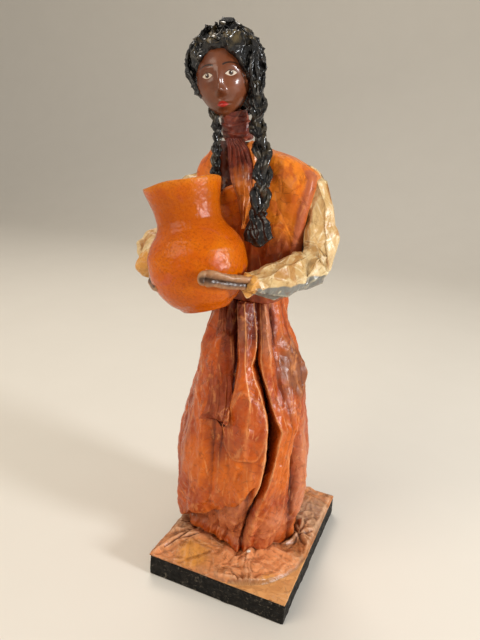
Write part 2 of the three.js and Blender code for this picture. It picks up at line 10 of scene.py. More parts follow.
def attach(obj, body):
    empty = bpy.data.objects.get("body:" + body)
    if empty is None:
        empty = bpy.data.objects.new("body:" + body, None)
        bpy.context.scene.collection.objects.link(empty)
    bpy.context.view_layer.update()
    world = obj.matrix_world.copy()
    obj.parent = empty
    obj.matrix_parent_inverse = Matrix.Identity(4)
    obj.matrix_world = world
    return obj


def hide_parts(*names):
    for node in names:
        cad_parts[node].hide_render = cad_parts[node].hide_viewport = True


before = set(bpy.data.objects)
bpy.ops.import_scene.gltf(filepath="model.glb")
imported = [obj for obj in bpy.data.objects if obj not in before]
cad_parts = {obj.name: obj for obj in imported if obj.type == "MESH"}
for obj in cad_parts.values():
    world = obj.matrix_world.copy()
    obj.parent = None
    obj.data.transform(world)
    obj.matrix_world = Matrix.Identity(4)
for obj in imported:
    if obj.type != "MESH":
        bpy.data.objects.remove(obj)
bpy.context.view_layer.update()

MM = 0.001
GAP = 0.3
FRONT = np.array([0.0, -1.0, 0.0])

# ---- driving dimensions, as the part has them ----
# An origin is the middle of the head and of the hair, and the foot of the pot.
BLOCK = {"width": 83, "depth": 104.3, "height": 13.1}
SHEET_FOOT = 13.4
SHEET_TOP = 14.2
HEM = 14.5
WAIST = 163
NECK_HOLE = 243
HEAD = {
    "origin": (-26.2, -9.5, 270.6), "lean": 9, "nod": -6, "turn": 15,
    "width": 27.2, "depth": 29, "height": 36,
}
NECK = {"foot": (-20.6, -6.4, 245.4), "radius": 6}
POT = {
    "origin": (-14.6, -43.2, 164.6), "lean": 15.6, "nod": -2, "turn": 0,
    "wall": 3, "lip": 2.2, "height": 60.5,
}
PIN = {"radius": 1.4, "centre": (10.2, -26.5)}


# ---- small maths ----
def ease(low, high, value):
    t = np.clip((value - low) / (high - low), 0, 1)
    return t * t * (3 - 2 * t)


def bell(value, width):
    return np.exp(-((value / width) ** 2))


def mix(a, b, t):
    return a + (b - a) * t


def unit(vectors):
    return vectors / np.maximum(np.linalg.norm(vectors, axis=-1, keepdims=True), 1e-9)


def track(rows):
    """Smooth track through rows (t, value, value, ...) that never overshoots a row."""
    rows = np.array(rows, float)
    t, values = rows[:, 0], rows[:, 1:]
    slope = np.diff(values, axis=0) / np.diff(t)[:, None]
    product = slope[:-1] * slope[1:]
    total = np.where(product > 0, slope[:-1] + slope[1:], 1)
    tangent = np.zeros_like(values)
    tangent[1:-1] = np.where(product > 0, 2 * product / total, 0)

    def at(x):
        x = np.clip(np.asarray(x, float), t[0], t[-1])
        j = np.clip(np.searchsorted(t, x, side="right") - 1, 0, len(t) - 2)
        step = (t[j + 1] - t[j])[..., None]
        u = (x - t[j])[..., None] / step
        rise = step * (u * (1 - u) ** 2 * tangent[j] - u * u * (1 - u) * tangent[j + 1])
        return mix(values[j], values[j + 1], u * u * (3 - 2 * u)) + rise

    return at


def polyline(rows):
    """Straight runs between rows (t, value, value, ...)."""
    rows = np.array(rows, float)
    return lambda x: np.stack([np.interp(x, rows[:, 0], column) for column in rows[:, 1:].T], -1)


def crumple(points, seed, size, slope, along=None, folds=5):
    """Height of crumpled paper, 0 on average: a plane folded again and again into flat facets."""
    random = np.random.default_rng(seed)
    normals = unit(random.normal(size=(folds + 1, 3)))
    if along is not None:
        axis = unit(np.array(along, float))
        normals = unit(normals - 0.85 * (normals @ axis)[:, None] * axis)
    lengths = size * random.uniform(0.8, 1.9, folds + 1)
    lengths[-1] = size
    place = np.array(points, float)
    for normal, length in zip(normals, lengths):
        reach = np.mod(place @ normal + random.uniform(0, 100), 2 * length)
        inside = np.where(reach > length, 2 * length - reach, reach)
        place = place + (inside - place @ normal)[..., None] * normal
    return (inside - size / 2) * slope


def on_two_triangles(corners, s, t, split):
    """Value at (s, t) of a cell that is cut along one diagonal or the other into two flat triangles."""
    a, b, c, d = corners
    first = np.where(s > t, a + s * (b - a) + t * (c - b), a + t * (d - a) + s * (c - d))
    second = np.where(s + t < 1, a + s * (b - a) + t * (d - a), c + (1 - s) * (d - c) + (1 - t) * (b - c))
    return np.where(split, first, second)


def facet_noise(u, v, seed, around=89):
    """Noise of flat triangles on a lattice, -1 to 1. It repeats after `around` cells of u."""
    random = np.random.default_rng(seed)
    rows = 97
    table = random.uniform(-1, 1, (rows, around))
    split = random.random((rows, around)) < 0.5
    i, j = np.floor(u).astype(int), np.floor(v).astype(int)
    row, above, column, after = j % rows, (j + 1) % rows, i % around, (i + 1) % around
    corners = table[row, column], table[row, after], table[above, after], table[above, column]
    return on_two_triangles(corners, u - i, v - j, split[row, column])


def flat_facets(coarse, steps_along, steps_around, seed):
    """Joins a coarse closed grid of points with flat triangles and returns a fine grid on them."""
    rows, columns, _ = coarse.shape
    split = np.random.default_rng(seed).random((rows, columns)) < 0.5
    row = np.minimum(np.arange((rows - 1) * steps_along + 1) / steps_along, rows - 1 - 1e-9)
    column = np.arange(columns * steps_around) / steps_around
    j, i = np.meshgrid(row.astype(int), column.astype(int), indexing="ij")
    t, s = (row[:, None] - j)[..., None], (column[None, :] - i)[..., None]
    after = (i + 1) % columns
    corners = coarse[j, i], coarse[j, after], coarse[j + 1, after], coarse[j + 1, i]
    return on_two_triangles(corners, s, t, split[j, i][..., None])


def lap(share, top):
    """Profile of one lapped pleat: it rises to 1 at share `top` and drops back to 0 at share 1."""
    return np.where(share < top, share / top, (1 - share) / (1 - top))


# ---- meshes from grids of points ----
def add_object(name, data):
    made = bpy.data.objects.new(name, data)
    bpy.context.scene.collection.objects.link(made)
    return made


def grid_normals(points, closed=True):
    if closed:
        across = np.roll(points, -1, axis=1) - np.roll(points, 1, axis=1)
    else:
        across = np.gradient(points, axis=1)
    return unit(np.cross(across, np.gradient(points, axis=0)))


def raise_surface(points, heights):
    return points + grid_normals(points) * np.asarray(heights)[..., None]


def crease_masks(points, closed=True, sharp=0.28, least=0.05):
    """How sharply the surface folds outwards (ridge) and inwards (valley) at each point, 0 to 1."""
    normal = grid_normals(points, closed)
    bend = np.zeros(points.shape[:2])
    for axis in (0, 1):
        if axis == 1 and closed:
            before, after = np.roll(points, 1, axis=1), np.roll(points, -1, axis=1)
        else:
            pad = [(1, 1) if axis == k else (0, 0) for k in range(2)] + [(0, 0)]
            wide = np.pad(points, pad, mode="edge")
            before, after = (wide[:-2], wide[2:]) if axis == 0 else (wide[:, :-2], wide[:, 2:])
        span = np.maximum(np.linalg.norm(after - before, axis=-1), 1e-6)
        bend = bend + 4 * (((before + after) / 2 - points) * normal).sum(-1) / span
    for axis in (0, 1):
        bend = 0.5 * bend + 0.25 * (np.roll(bend, 1, axis=axis) + np.roll(bend, -1, axis=axis))
    return np.clip((-bend - least) / sharp, 0, 1), np.clip((bend - least) / sharp, 0, 1)


def grid_faces(rows, columns):
    """Quads of a grid that closes on itself, and the triangles that close its first and last row."""
    here = np.arange(rows * columns).reshape(rows, columns)
    after = np.roll(here, -1, axis=1)
    quads = np.stack([here[:-1], after[:-1], after[1:], here[1:]], -1).reshape(-1, 4)
    foot = rows * columns
    top = foot + 1
    caps = [(foot, b, a) for a, b in zip(here[0].tolist(), after[0].tolist())]
    caps += [(top, a, b) for a, b in zip(here[-1].tolist(), after[-1].tolist())]
    return quads, caps


def make_piece(name, parts, slot, material, *nodes):
    """Joins closed grids into one object. A part is (points, {attribute: values})."""
    places, faces, start = [], [], 0
    names = sorted({key for _, masks in parts for key in masks})
    values = {key: [] for key in names}
    for points, masks in parts:
        rows, columns, _ = points.shape
        quads, caps = grid_faces(rows, columns)
        places.append(np.vstack([points.reshape(-1, 3), points[0].mean(0), points[-1].mean(0)]))
        faces += (quads + start).tolist()
        faces += [tuple(corner + start for corner in cap) for cap in caps]
        for key in names:
            mask = np.broadcast_to(masks.get(key, 0.0), (rows, columns)).astype(float)
            values[key].append(np.concatenate([mask.ravel(), [mask[0].mean(), mask[-1].mean()]]))
        start += rows * columns + 2
    mesh = bpy.data.meshes.new(name)
    mesh.from_pydata((np.vstack(places) * MM).tolist(), [], faces)
    for key in names:
        layer = mesh.attributes.new(key, "FLOAT", "POINT")
        layer.data.foreach_set("value", np.concatenate(values[key]).astype(np.float32))
    mesh.polygons.foreach_set("use_smooth", np.ones(len(mesh.polygons), bool))
    mesh.materials.append(material)
    mesh.update()
    made = add_object(name, mesh)
    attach(made, "root")
    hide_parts(*nodes)


def sheet_part(front, back, masks):
    """A closed slab of paper from a front grid and a back grid of the same size."""
    ring = np.concatenate([front, back[:, ::-1]], axis=1)
    return ring, {key: np.concatenate([mask, mask[:, ::-1]], axis=1) for key, mask in masks.items()}


DOME_STEPS = 7


def tube(path, width, depth, around, dent=None, dome=0):
    """Rings round a path. dent(turn, rise, points) is added to the radius, and dome rounds the far end."""
    count = len(path)
    ahead = unit(np.gradient(path, axis=0))
    side = unit(np.cross(ahead, FRONT))
    front = np.cross(side, ahead)
    rise = np.linspace(0, 1, count)
    scale = np.ones(count)
    if dome:
        swing = np.radians(np.linspace(0, 84, DOME_STEPS + 1)[1:])
        path = np.concatenate([path, path[-1] + dome * np.sin(swing)[:, None] * ahead[-1]])
        scale = np.concatenate([scale, np.cos(swing)])
        width, depth, rise, side, front = (
            np.concatenate([part, np.repeat(part[-1:], DOME_STEPS, axis=0)])
            for part in (width, depth, rise, side, front)
        )
    turn = np.arange(around) / around
    angle = 2 * math.pi * turn[None, :]
    across = np.sin(angle) * width[:, None] * scale[:, None]
    out = np.cos(angle) * depth[:, None] * scale[:, None]
    points = path[:, None] + side[:, None] * across[..., None] + front[:, None] * out[..., None]
    if dent is not None:
        away = unit(points - path[:, None])
        turn, rise = np.meshgrid(turn, rise)
        amount = dent(turn, rise, points)
        points = points + away * (amount * scale[:, None])[..., None]
    return points


def limb(rows, along, around, **shape):
    """A tube along a smooth track of (x, y, z, half width, half depth) rows."""
    rows = np.array(rows, float)
    station = np.linspace(0, 1, len(rows))[:, None]
    here = track(np.hstack([station, rows]))(np.linspace(0, 1, along + 1))
    return tube(here[:, :3], here[:, 3], here[:, 4], around, **shape)


def ribbon(path, across, out, section, tilt):
    """Rings of a flat strip along a path, from a section of (sideways, outwards) values, turned by tilt."""
    ring = [
        path + across * (flat * np.cos(tilt) - lift * np.sin(tilt))[:, None]
        + out * (flat * np.sin(tilt) + lift * np.cos(tilt))[:, None]
        for flat, lift in section
    ]
    return np.stack(ring[::-1], axis=1)


# ---- shader maths ----
class Value:
    """A number over a surface: wraps a socket, and arithmetic on it adds Math nodes."""

    def __init__(self, shader, socket):
        self.shader = shader
        self.socket = socket

    def math(self, operation, *others, first=None, clamp=False):
        operands = [self, *others] if first is None else [first, self]
        settings = {"operation": operation, "use_clamp": clamp}
        return self.shader.node("Math", settings, dict(enumerate(operands)))

    def __add__(self, other):
        return self.math("ADD", other)

    __radd__ = __add__

    def __sub__(self, other):
        return self.math("SUBTRACT", other)

    def __rsub__(self, other):
        return self.math("SUBTRACT", first=other)

    def __mul__(self, other):
        return self.math("MULTIPLY", other)

    __rmul__ = __mul__

    def __truediv__(self, other):
        return self.math("DIVIDE", other)

    def __pow__(self, power):
        return self.math("POWER", power)

    def clamped(self):
        return self.math("ADD", 0.0, clamp=True)

    def size(self):
        return self.math("ABSOLUTE")

    def most(self, other):
        return self.math("MAXIMUM", other)

    def least(self, other):
        return self.math("MINIMUM", other)

    def step(self, low, high):
        """0 at low, 1 at high, and held beyond them."""
        return ((self - low) / (high - low)).clamped()


class Shader:
    """A material under construction."""

    def __init__(self, name, **plain):
        self.material = bpy.data.materials.new(name)
        self.material.use_nodes = True
        self.nodes = self.material.node_tree.nodes
        self.links = self.material.node_tree.links
        self.surface = self.nodes["Principled BSDF"]
        for socket, value in plain.items():
            self.surface.inputs[socket.replace("_", " ")].default_value = value
        self.place = self.node("TexCoord", output="Object")

    def node(self, kind, settings=None, inputs=None, output=0):
        made = self.nodes.new("ShaderNode" + kind)
        for key, value in (settings or {}).items():
            setattr(made, key, value)
        for key, value in (inputs or {}).items():
            self.plug(made.inputs[key], value)
        return Value(self, made.outputs[output])

    def plug(self, socket, value):
        if isinstance(value, Value):
            self.links.new(value.socket, socket)
        else:
            socket.default_value = value

    def set(self, socket, value):
        self.plug(self.surface.inputs[socket], value)

    def mask(self, name):
        """A mask of the mesh, 0 on a piece that doesn't have it."""
        return self.node("Attribute", {"attribute_name": name}, output="Fac")

    def noise(self, size, detail=3.0, rough=0.55, warp=0.0):
        """Noise 0 to 1 whose lumps are about size millimetres."""
        inputs = {"Vector": self.place, "Scale": 1 / (size * MM), "Detail": detail,
                  "Roughness": rough, "Distortion": warp}
        return self.node("TexNoise", inputs=inputs)

    def pits(self, size):
        """Dents about size millimetres apart, 0 to 1."""
        inputs = {"Vector": self.place, "Scale": 1 / (size * MM)}
        return self.node("TexVoronoi", {"feature": "F1"}, inputs, "Distance").step(0.0, 0.9)

    def vector(self, operation, *inputs, output="Vector"):
        return self.node("VectorMath", {"operation": operation}, dict(enumerate(inputs)), output)

    def crumple(self, seed, size, stretch):
        """Paper folded flat five times: its height with slope 1, and the way to the nearest crease."""
        random = np.random.default_rng(seed)
        normals = unit(random.normal(size=(5, 3)))
        lengths = [*(size * random.uniform(0.8, 1.9, 4)), size]
        place = self.vector("MULTIPLY", self.place, (1 / MM, 1 / MM, stretch / MM))
        nearest = size
        for normal, length in zip(normals.tolist(), lengths):
            start = float(random.uniform(0, 100))
            reach = self.vector("DOT_PRODUCT", place, normal, output="Value") + start
            inside = reach.math("PINGPONG", length)
            place = self.vector("MULTIPLY_ADD", normal, inside - reach, place)
            nearest = inside.least(length - inside).least(nearest)
        return inside, nearest

    def colour(self, low, high, share):
        """Low colour where share is 0, high colour where it is 1."""
        made = self.nodes.new("ShaderNodeMix")
        made.data_type = "RGBA"
        self.plug(made.inputs[0], share)
        for index, value in ((6, low), (7, high)):
            self.plug(made.inputs[index], value if isinstance(value, Value) else (*value, 1.0))
        return Value(self, made.outputs[2])

    def relief(self, *layers):
        """Bump from layers of (height 0 to 1, depth in millimetres)."""
        normal = None
        for height, depth in layers:
            inputs = {"Height": height, "Distance": depth * MM, "Strength": 1.0}
            if normal is not None:
                inputs["Normal"] = normal
            normal = self.node("Bump", inputs=inputs)
        self.set("Normal", normal)


def varnished_paper(name, seed, stains, dark, wear_and_highlight, gloss, mottle, extras, sharp=1.0):
    """Painted and varnished paper: mottled with three stains, with painted shade in the folds and lighter
    creases that are partly wear and partly painted highlight.

    gloss is the least roughness, mottle the size of the mottles, and extras are patches of colour, some of
    them paint and some painted shade or painted highlight: (mask name, colour, strength)."""
    main, second, third = stains
    s = Shader(name, Specular_IOR_Level=0.32, Coat_Weight=0.08, Coat_Roughness=0.16)
    broad = s.noise(mottle, 3, 0.6, 0.6).step(0.42, 0.58)
    middling = s.noise(mottle * 0.35, 5, 0.65, 1.0).step(0.47, 0.62)
    fine = s.noise(1.3, 4, 0.7)
    stain = s.colour(main, second, broad)
    stain = s.colour(stain, third, middling * 0.7)
    for mask, patch, strength in extras:
        edge = (s.mask(mask) + (s.noise(7, 4, 0.65) - 0.5) * 0.9).step(0.3, 0.75)
        stain = s.colour(stain, patch, edge * strength)
    stain = s.colour(stain, dark, s.noise(3.6, 5, 0.7, 1.5).step(0.58, 0.72) * 0.3)
    # Lighter on the ridges: partly wear, partly painted highlight.
    stain = s.colour(stain, wear_and_highlight, (s.mask("ridge") * (s.noise(3, 2) * 1.3)).clamped() * 0.55 * sharp)
    # Darker in the valleys and the deep places: painted shade.
    stain = s.colour(stain, dark, (s.mask("valley") * 0.5 * sharp + s.mask("deep")).clamped())
    stain = s.colour(stain, dark, fine.step(0.60, 0.78) * 0.25)
    folds, crease = s.crumple(seed, 9, 0.55)
    wrinkles, wrinkle = s.crumple(seed + 1, 3.6, 0.8)
    # Lighter along the fold creases: partly wear, partly painted highlight.
    rubbed_and_highlight = s.noise(6, 3).step(0.50, 0.62) * 0.5 * sharp
    stain = s.colour(stain, wear_and_highlight, crease.step(0.45, 0.1) * rubbed_and_highlight)
    # Darker along the wrinkle creases: painted shade.
    crease_shade = s.noise(5, 3).step(0.50, 0.62) * 0.35 * sharp
    stain = s.colour(stain, dark, wrinkle.step(0.3, 0.1) * crease_shade)
    s.set("Base Color", stain)
    s.set("Roughness", s.noise(8, 4).step(0.35, 0.7) * 0.25 + gloss)
    s.relief((folds, 0.2 * sharp), (wrinkles, 0.15 * sharp), (fine, 0.1))
    return s.material


# ---- dress paper colours, linear ----
ORANGE = (0.52, 0.090, 0.003)
DEEP_ORANGE = (0.36, 0.046, 0.003)
TERRACOTTA = (0.40, 0.088, 0.020)
# Coral also lightens ridges and creases of several papers: partly wear, partly painted highlight.
CORAL = (0.72, 0.27, 0.085)
YELLOW_ORANGE = (0.60, 0.122, 0.003)
OLIVE = (0.15, 0.060, 0.020)
# Dark red also darkens the folds and hollows of the dress and tunic: painted shade.
DARK_RED = (0.06, 0.005, 0.002)
ROSE = (0.56, 0.19, 0.085)
BROWN = (0.16, 0.035, 0.010)


# ---- skirt ----
skirt_outline = track([
    (HEM, -7.5, 3.5, 35.5, 29), (20, -7.5, 2.5, 37.5, 31), (35, -7.2, 1, 40, 34.5), (60, -7, 0, 39.8, 35.5),
    (90, -7, 0, 36.5, 33), (112, -7, 0, 32.5, 29.5), (137, -8.2, 0, 25.8, 24),
    (155, -9, 0, 20.5, 18.5), (WAIST, -9.5, 0, 20, 17),
])
# Crease rows: height, angle from the front towards the figure's left, distance out from the outline.
FRONT_CREASES = [
    [(HEM, -88, 0.5), (60, -84, 2), (110, -86, 1), (WAIST, -84, 0.5)],
    [(HEM, -66, -1.5), (60, -66, -1), (110, -68, -1), (WAIST, -66, -1)],
    [(HEM, -44, 0.5), (60, -46, 1.5), (110, -46, 1.5), (WAIST, -44, 1)],
    [(HEM, -22, 0), (55, -20, 2), (90, -23, 3.5), (110, -25, 2), (WAIST, -24, 0.5)],
    [(HEM, -12, -1), (60, -8, -1), (93, -12, -1.5), (110, -14, 0), (WAIST, -14, 0)],
    [(HEM, -4, 0), (45, -3, 0), (95, -2, 0), (106, 1, -2.5), (120, 4, -6), (132, 5, -7),
     (146, 1, -7), (WAIST, -3, -5)],
    [(HEM, 4, -1), (45, 5, -1), (80, 8, 0), (95, 5, 1.5), (107, 5, 1.5), (117, 8, 2), (125, 10, 2),
     (134, 12.5, 1.5), (148, 8, 2), (WAIST, 5, 2)],
    [(HEM, 12.5, 1.5), (25, 12.5, 2), (43, 18, 2.5), (58, 23, 1.5), (66, 23, 0.5), (83, 22, 3),
     (97, 22, 5), (113, 24, 4.5), (123, 20.5, 3), (132, 18, 2), (146, 18, 3.5), (WAIST, 15, 3.5)],
    [(HEM, 19, 0), (30, 23, 0), (47, 28.5, 0), (57, 31.5, 0.5), (66, 36, 1), (80, 39.5, 2),
     (96, 41, 3), (108, 38, 3), (118, 33, 2.5), (125, 27.5, 1.5), (131, 25, 0.5), (138, 30, 1),
     (146, 32, 1.5), (WAIST, 29, 1)],
    [(HEM, 22.5, -4), (26, 25, -5), (47, 31.5, -4.5), (57, 35, -5), (66, 41.5, -6), (74, 49, -8),
     (84, 53.5, -10), (94, 55.5, -11), (103, 51, -11), (113, 45, -10), (123, 39.5, -9),
     (131, 33, -6), (138, 32.5, -2), (150, 34.5, 0), (WAIST, 34, 0)],
    [(HEM, 26, 0), (30, 30, 0.5), (47, 34.5, 0.5), (60, 41, 1.5), (77, 50.5, 2.5), (86, 53, 3.5),
     (95, 54, 5), (106, 47.5, 4), (117, 42, 3), (127, 37, 2), (135, 35, 1.5), (146, 37, 1.5),
     (WAIST, 38, 2)],
    [(HEM, 38, 1), (45, 42, 2), (66, 50, 1.5), (77, 57, 1), (95, 61, 1.5), (106, 56, 1.5),
     (117, 50, 1.5), (127, 46.5, 2), (136, 44.5, 3), (146, 43, 3.5), (WAIST, 43, 3.5)],
    [(HEM, 50, 0), (45, 52, 0), (77, 62, 0.5), (95, 64.5, 2), (106, 63, 0.5), (117, 58, 0),
     (127, 56, 0), (137, 55.5, -2.5), (150, 57, -3.5), (WAIST, 58, -3.5)],
    [(HEM, 62, 0), (40, 62, 1.5), (56, 63, 1.5), (77, 67, 1), (87, 68, 2), (95, 69, 4),
     (104, 77, 4), (112, 85, 3.5), (125, 82, 1), (137, 77, 1.5), (150, 73, 1.5), (WAIST, 73, 0)],
    [(HEM, 76, 0), (30, 76, -2.5), (55, 75.5, -4.5), (72, 73.5, -4), (80, 76, -1), (90, 79, 0),
     (104, 84.5, 1), (112, 90, 2), (125, 89, 2), (137, 85, 1.5), (WAIST, 84, -0.5)],
    [(HEM, 92, 0), (40, 88, 1), (70, 86, 1.5), (98, 91, 1), (112, 95, 2.5), (122, 96, 4.5),
     (137, 97, 1.5), (150, 98, 0), (WAIST, 98, -1)],
]
BACK = {"count": 9, "from": 114, "to": 254, "least": 1, "most": 3, "sway": 4, "stations": 5}


def back_crease(index):
    """A plain pleat at the back, deepest at the hem."""
    angle = mix(BACK["from"], BACK["to"], index / (BACK["count"] - 1))
    side = 1 if index % 2 == 0 else -1
    rows = []
    for station in range(BACK["stations"]):
        climb = station / (BACK["stations"] - 1)
        uneven = 0.8 + 0.3 * math.sin(2.1 * index + 1.7 * station)
        sway = BACK["sway"] * math.sin(1.3 * index + 1.9 * station)
        out = side * mix(BACK["most"], BACK["least"], climb) * uneven
        rows.append((mix(HEM, WAIST, climb), angle + sway, out))
    return rows


creases = [polyline(rows) for rows in FRONT_CREASES + [back_crease(i) for i in range(BACK["count"])]]
# Edge of the bag that is tucked up over the hem: angle, height.
tuck_edge = track([
    (-118, 17), (-70, 18), (-52, 24), (-38, 32), (-25, 38), (-8, 42), (7, 48), (20, 56), (29, 64),
])
TUCK = {"depth": 4.2, "roll": 1.6, "from": -118, "to": 33, "edge": 1.6, "soft_edge": 5.0, "ragged": 2.2}
OVAL = {"angle": 21, "height": 98, "half_angle": 21, "half_height": 20, "out": 0.9, "rim": 0.8}
# Creases by number, from the figure's right round the front and the back.
STRIP_CREASE = 5  # beside the hanging strip
FLAP_CREASE = 7  # edge of the narrow flap at the waist
LEFT_LIP, FLOOR_CREASE, RIGHT_LIP = 8, 9, 10  # the deep fold down the front and its two edges
SIDE_CREASE = 14
# Creases painted lighter, partly wear and partly painted highlight, and creases painted darker as shade.
WEAR_AND_HIGHLIGHT_CREASES = (0, 2, 6, 7, 8, 10, 11, 13, 15, 17, 19, 21, 23)
DARK_CREASES = (1, 4, 5, 9, 12, 14, 16, 18, 20, 22, 24)


def skirt_radius(angle, height, offset, outline, ragged):
    """Distance from the axis, and masks of the tucked part, the oval panel and the lip of the tuck."""
    a, b = outline[..., 2], outline[..., 3]
    ellipse = 1 / np.hypot(np.sin(np.radians(angle)) / a, np.cos(np.radians(angle)) / b)
    edge = tuck_edge(angle)[..., 0]
    if ragged:
        edge = edge + TUCK["ragged"] * facet_noise(angle / 8 + 40, 0 * angle, 5)
    inside = ease(TUCK["from"], TUCK["from"] + 25, angle) * (1 - ease(TUCK["to"] - 6, TUCK["to"], angle))
    width = TUCK["edge"] if ragged else TUCK["soft_edge"]
    under = inside * (1 - ease(edge - width, edge, height)) * ease(HEM, HEM + 8, height)
    roll = TUCK["roll"] * bell(height - edge - 5, 8)
    bent = (angle - OVAL["angle"]) / OVAL["half_angle"] + 0.08 * np.sin(height / 6)
    oval = np.hypot(bent, (height - OVAL["height"]) / OVAL["half_height"])
    oval = oval + 0.06 * np.sin(angle / 4 + height / 9)
    panel = OVAL["out"] * (1 - ease(0.93, 1, oval)) + OVAL["rim"] * bell(oval - 0.97, 0.035)
    radius = ellipse + offset + inside * roll - TUCK["depth"] * under + panel
    lip = inside * bell(height - edge - 1.5, 2.0)
    return radius, under, oval, lip


SKIRT_GRID = {"columns_per_degree": 1.05, "least_columns": 6, "rows": 236, "bulge": 0.25}


def skirt_grid():
    """Angles, heights, distances out and panel numbers of the skirt, on columns that follow its creases."""
    rows = SKIRT_GRID["rows"]
    height = np.linspace(HEM, WAIST, rows)
    tracks = [crease(height) for crease in creases]
    angles, outs, panels = [], [], []
    for index, here in enumerate(tracks):
        after = tracks[(index + 1) % len(tracks)]
        span = after[:, 0] + (360 if index == len(tracks) - 1 else 0) - here[:, 0]
        columns = round(float(np.abs(span).mean()) * SKIRT_GRID["columns_per_degree"])
        columns = max(SKIRT_GRID["least_columns"], columns)
        for share in np.arange(columns) / columns:
            bulge = SKIRT_GRID["bulge"] * share * (1 - share) * np.clip(np.abs(span) / 10, 0, 2)
            angles.append(here[:, 0] + span * share)
            outs.append(mix(here[:, 1], after[:, 1], share) + bulge)
            panels.append(np.full(rows, index + share))
    angle = np.array(angles).T
    return angle, np.broadcast_to(height[:, None], angle.shape), np.array(outs).T, np.array(panels).T


def place_on_skirt(angle, height, radius, outline):
    turn = np.radians(angle)
    return np.stack([
        outline[..., 0] + radius * np.sin(turn),
        outline[..., 1] - radius * np.cos(turn),
        height + 0 * radius,
    ], -1)


def patch(angle, height, at_angle, at_height, half_angle, half_height):
    """Soft round mask at an angle and height of the skirt."""
    gap = (angle - at_angle + 180) % 360 - 180
    return bell(np.hypot(gap / half_angle, (height - at_height) / half_height), 1.0)


def crease_mask(panel, which, width):
    """Mask along one crease of the skirt, from the panel number of each point."""
    gap = (panel - which + len(creases) / 2) % len(creases) - len(creases) / 2
    return bell(gap, width)


def skirt_piece(material):
    angle, height, offset, panel = skirt_grid()
    outline = skirt_outline(height)
    low, waist = ease(60, 30, height), ease(125, 155, height)
    radius, under, oval, lip = skirt_radius(angle, height, offset, outline, ragged=True)
    base = place_on_skirt(angle, height, radius, outline)
    off_panel = 1 - 0.6 * ease(1.05, 0.8, oval)
    # Big and middling folds run from waist to hem, small ones any way, and pleats fan out above the hem.
    big = 0.8 * crumple(base, 12, 21, 0.20, along=(0, 0, 1)) * (1 - 0.5 * waist)
    middling = crumple(base, 16, 11, 0.42, along=(0, 0, 1), folds=4)
    small = crumple(base, 14, 4.6, 0.22)
    pleat = facet_noise(np.radians(angle) * 4.5 + 55 + 0.4 * np.sin(height / 7), height / 40, 8)
    crushed = 0.7 + 0.6 * low + 0.1 * waist
    radius = radius + (big + (middling + small) * crushed) * off_panel
    radius = radius + (1.2 * under + 2.2 * ease(32, HEM, height)) * pleat
    # The hem spreads out, and the skirt is full above the knees and drawn in below the hips.
    radius = radius + 2.2 * ease(26, HEM, height) * (1 - under)
    radius = radius + 1.6 * ease(100, 138, height) - 0.8 * ease(110, 80, height)
    points = place_on_skirt(angle, height, radius, outline)
    points[..., 2] -= 2.2 * lip * ease(HEM + 5, HEM + 12, height)
    points = raise_surface(points, crumple(points, 17, 2.4, 0.16) * (0.4 + crushed))
    masks = skirt_masks(angle, height, panel, under, oval)
    # Ridges of the mesh are painted lighter (partly wear, partly painted highlight), and valleys darker as
    # painted shade.
    ridge, valley = crease_masks(points, sharp=0.4, least=0.12)
    masks["ridge"] = np.clip(ridge + masks["ridge"], 0, 1)
    masks["valley"] = np.clip(0.6 * valley + masks["valley"], 0, 1)
    make_piece("folded_skirt", [(points, masks)], "dress_paper", material, "skirt")


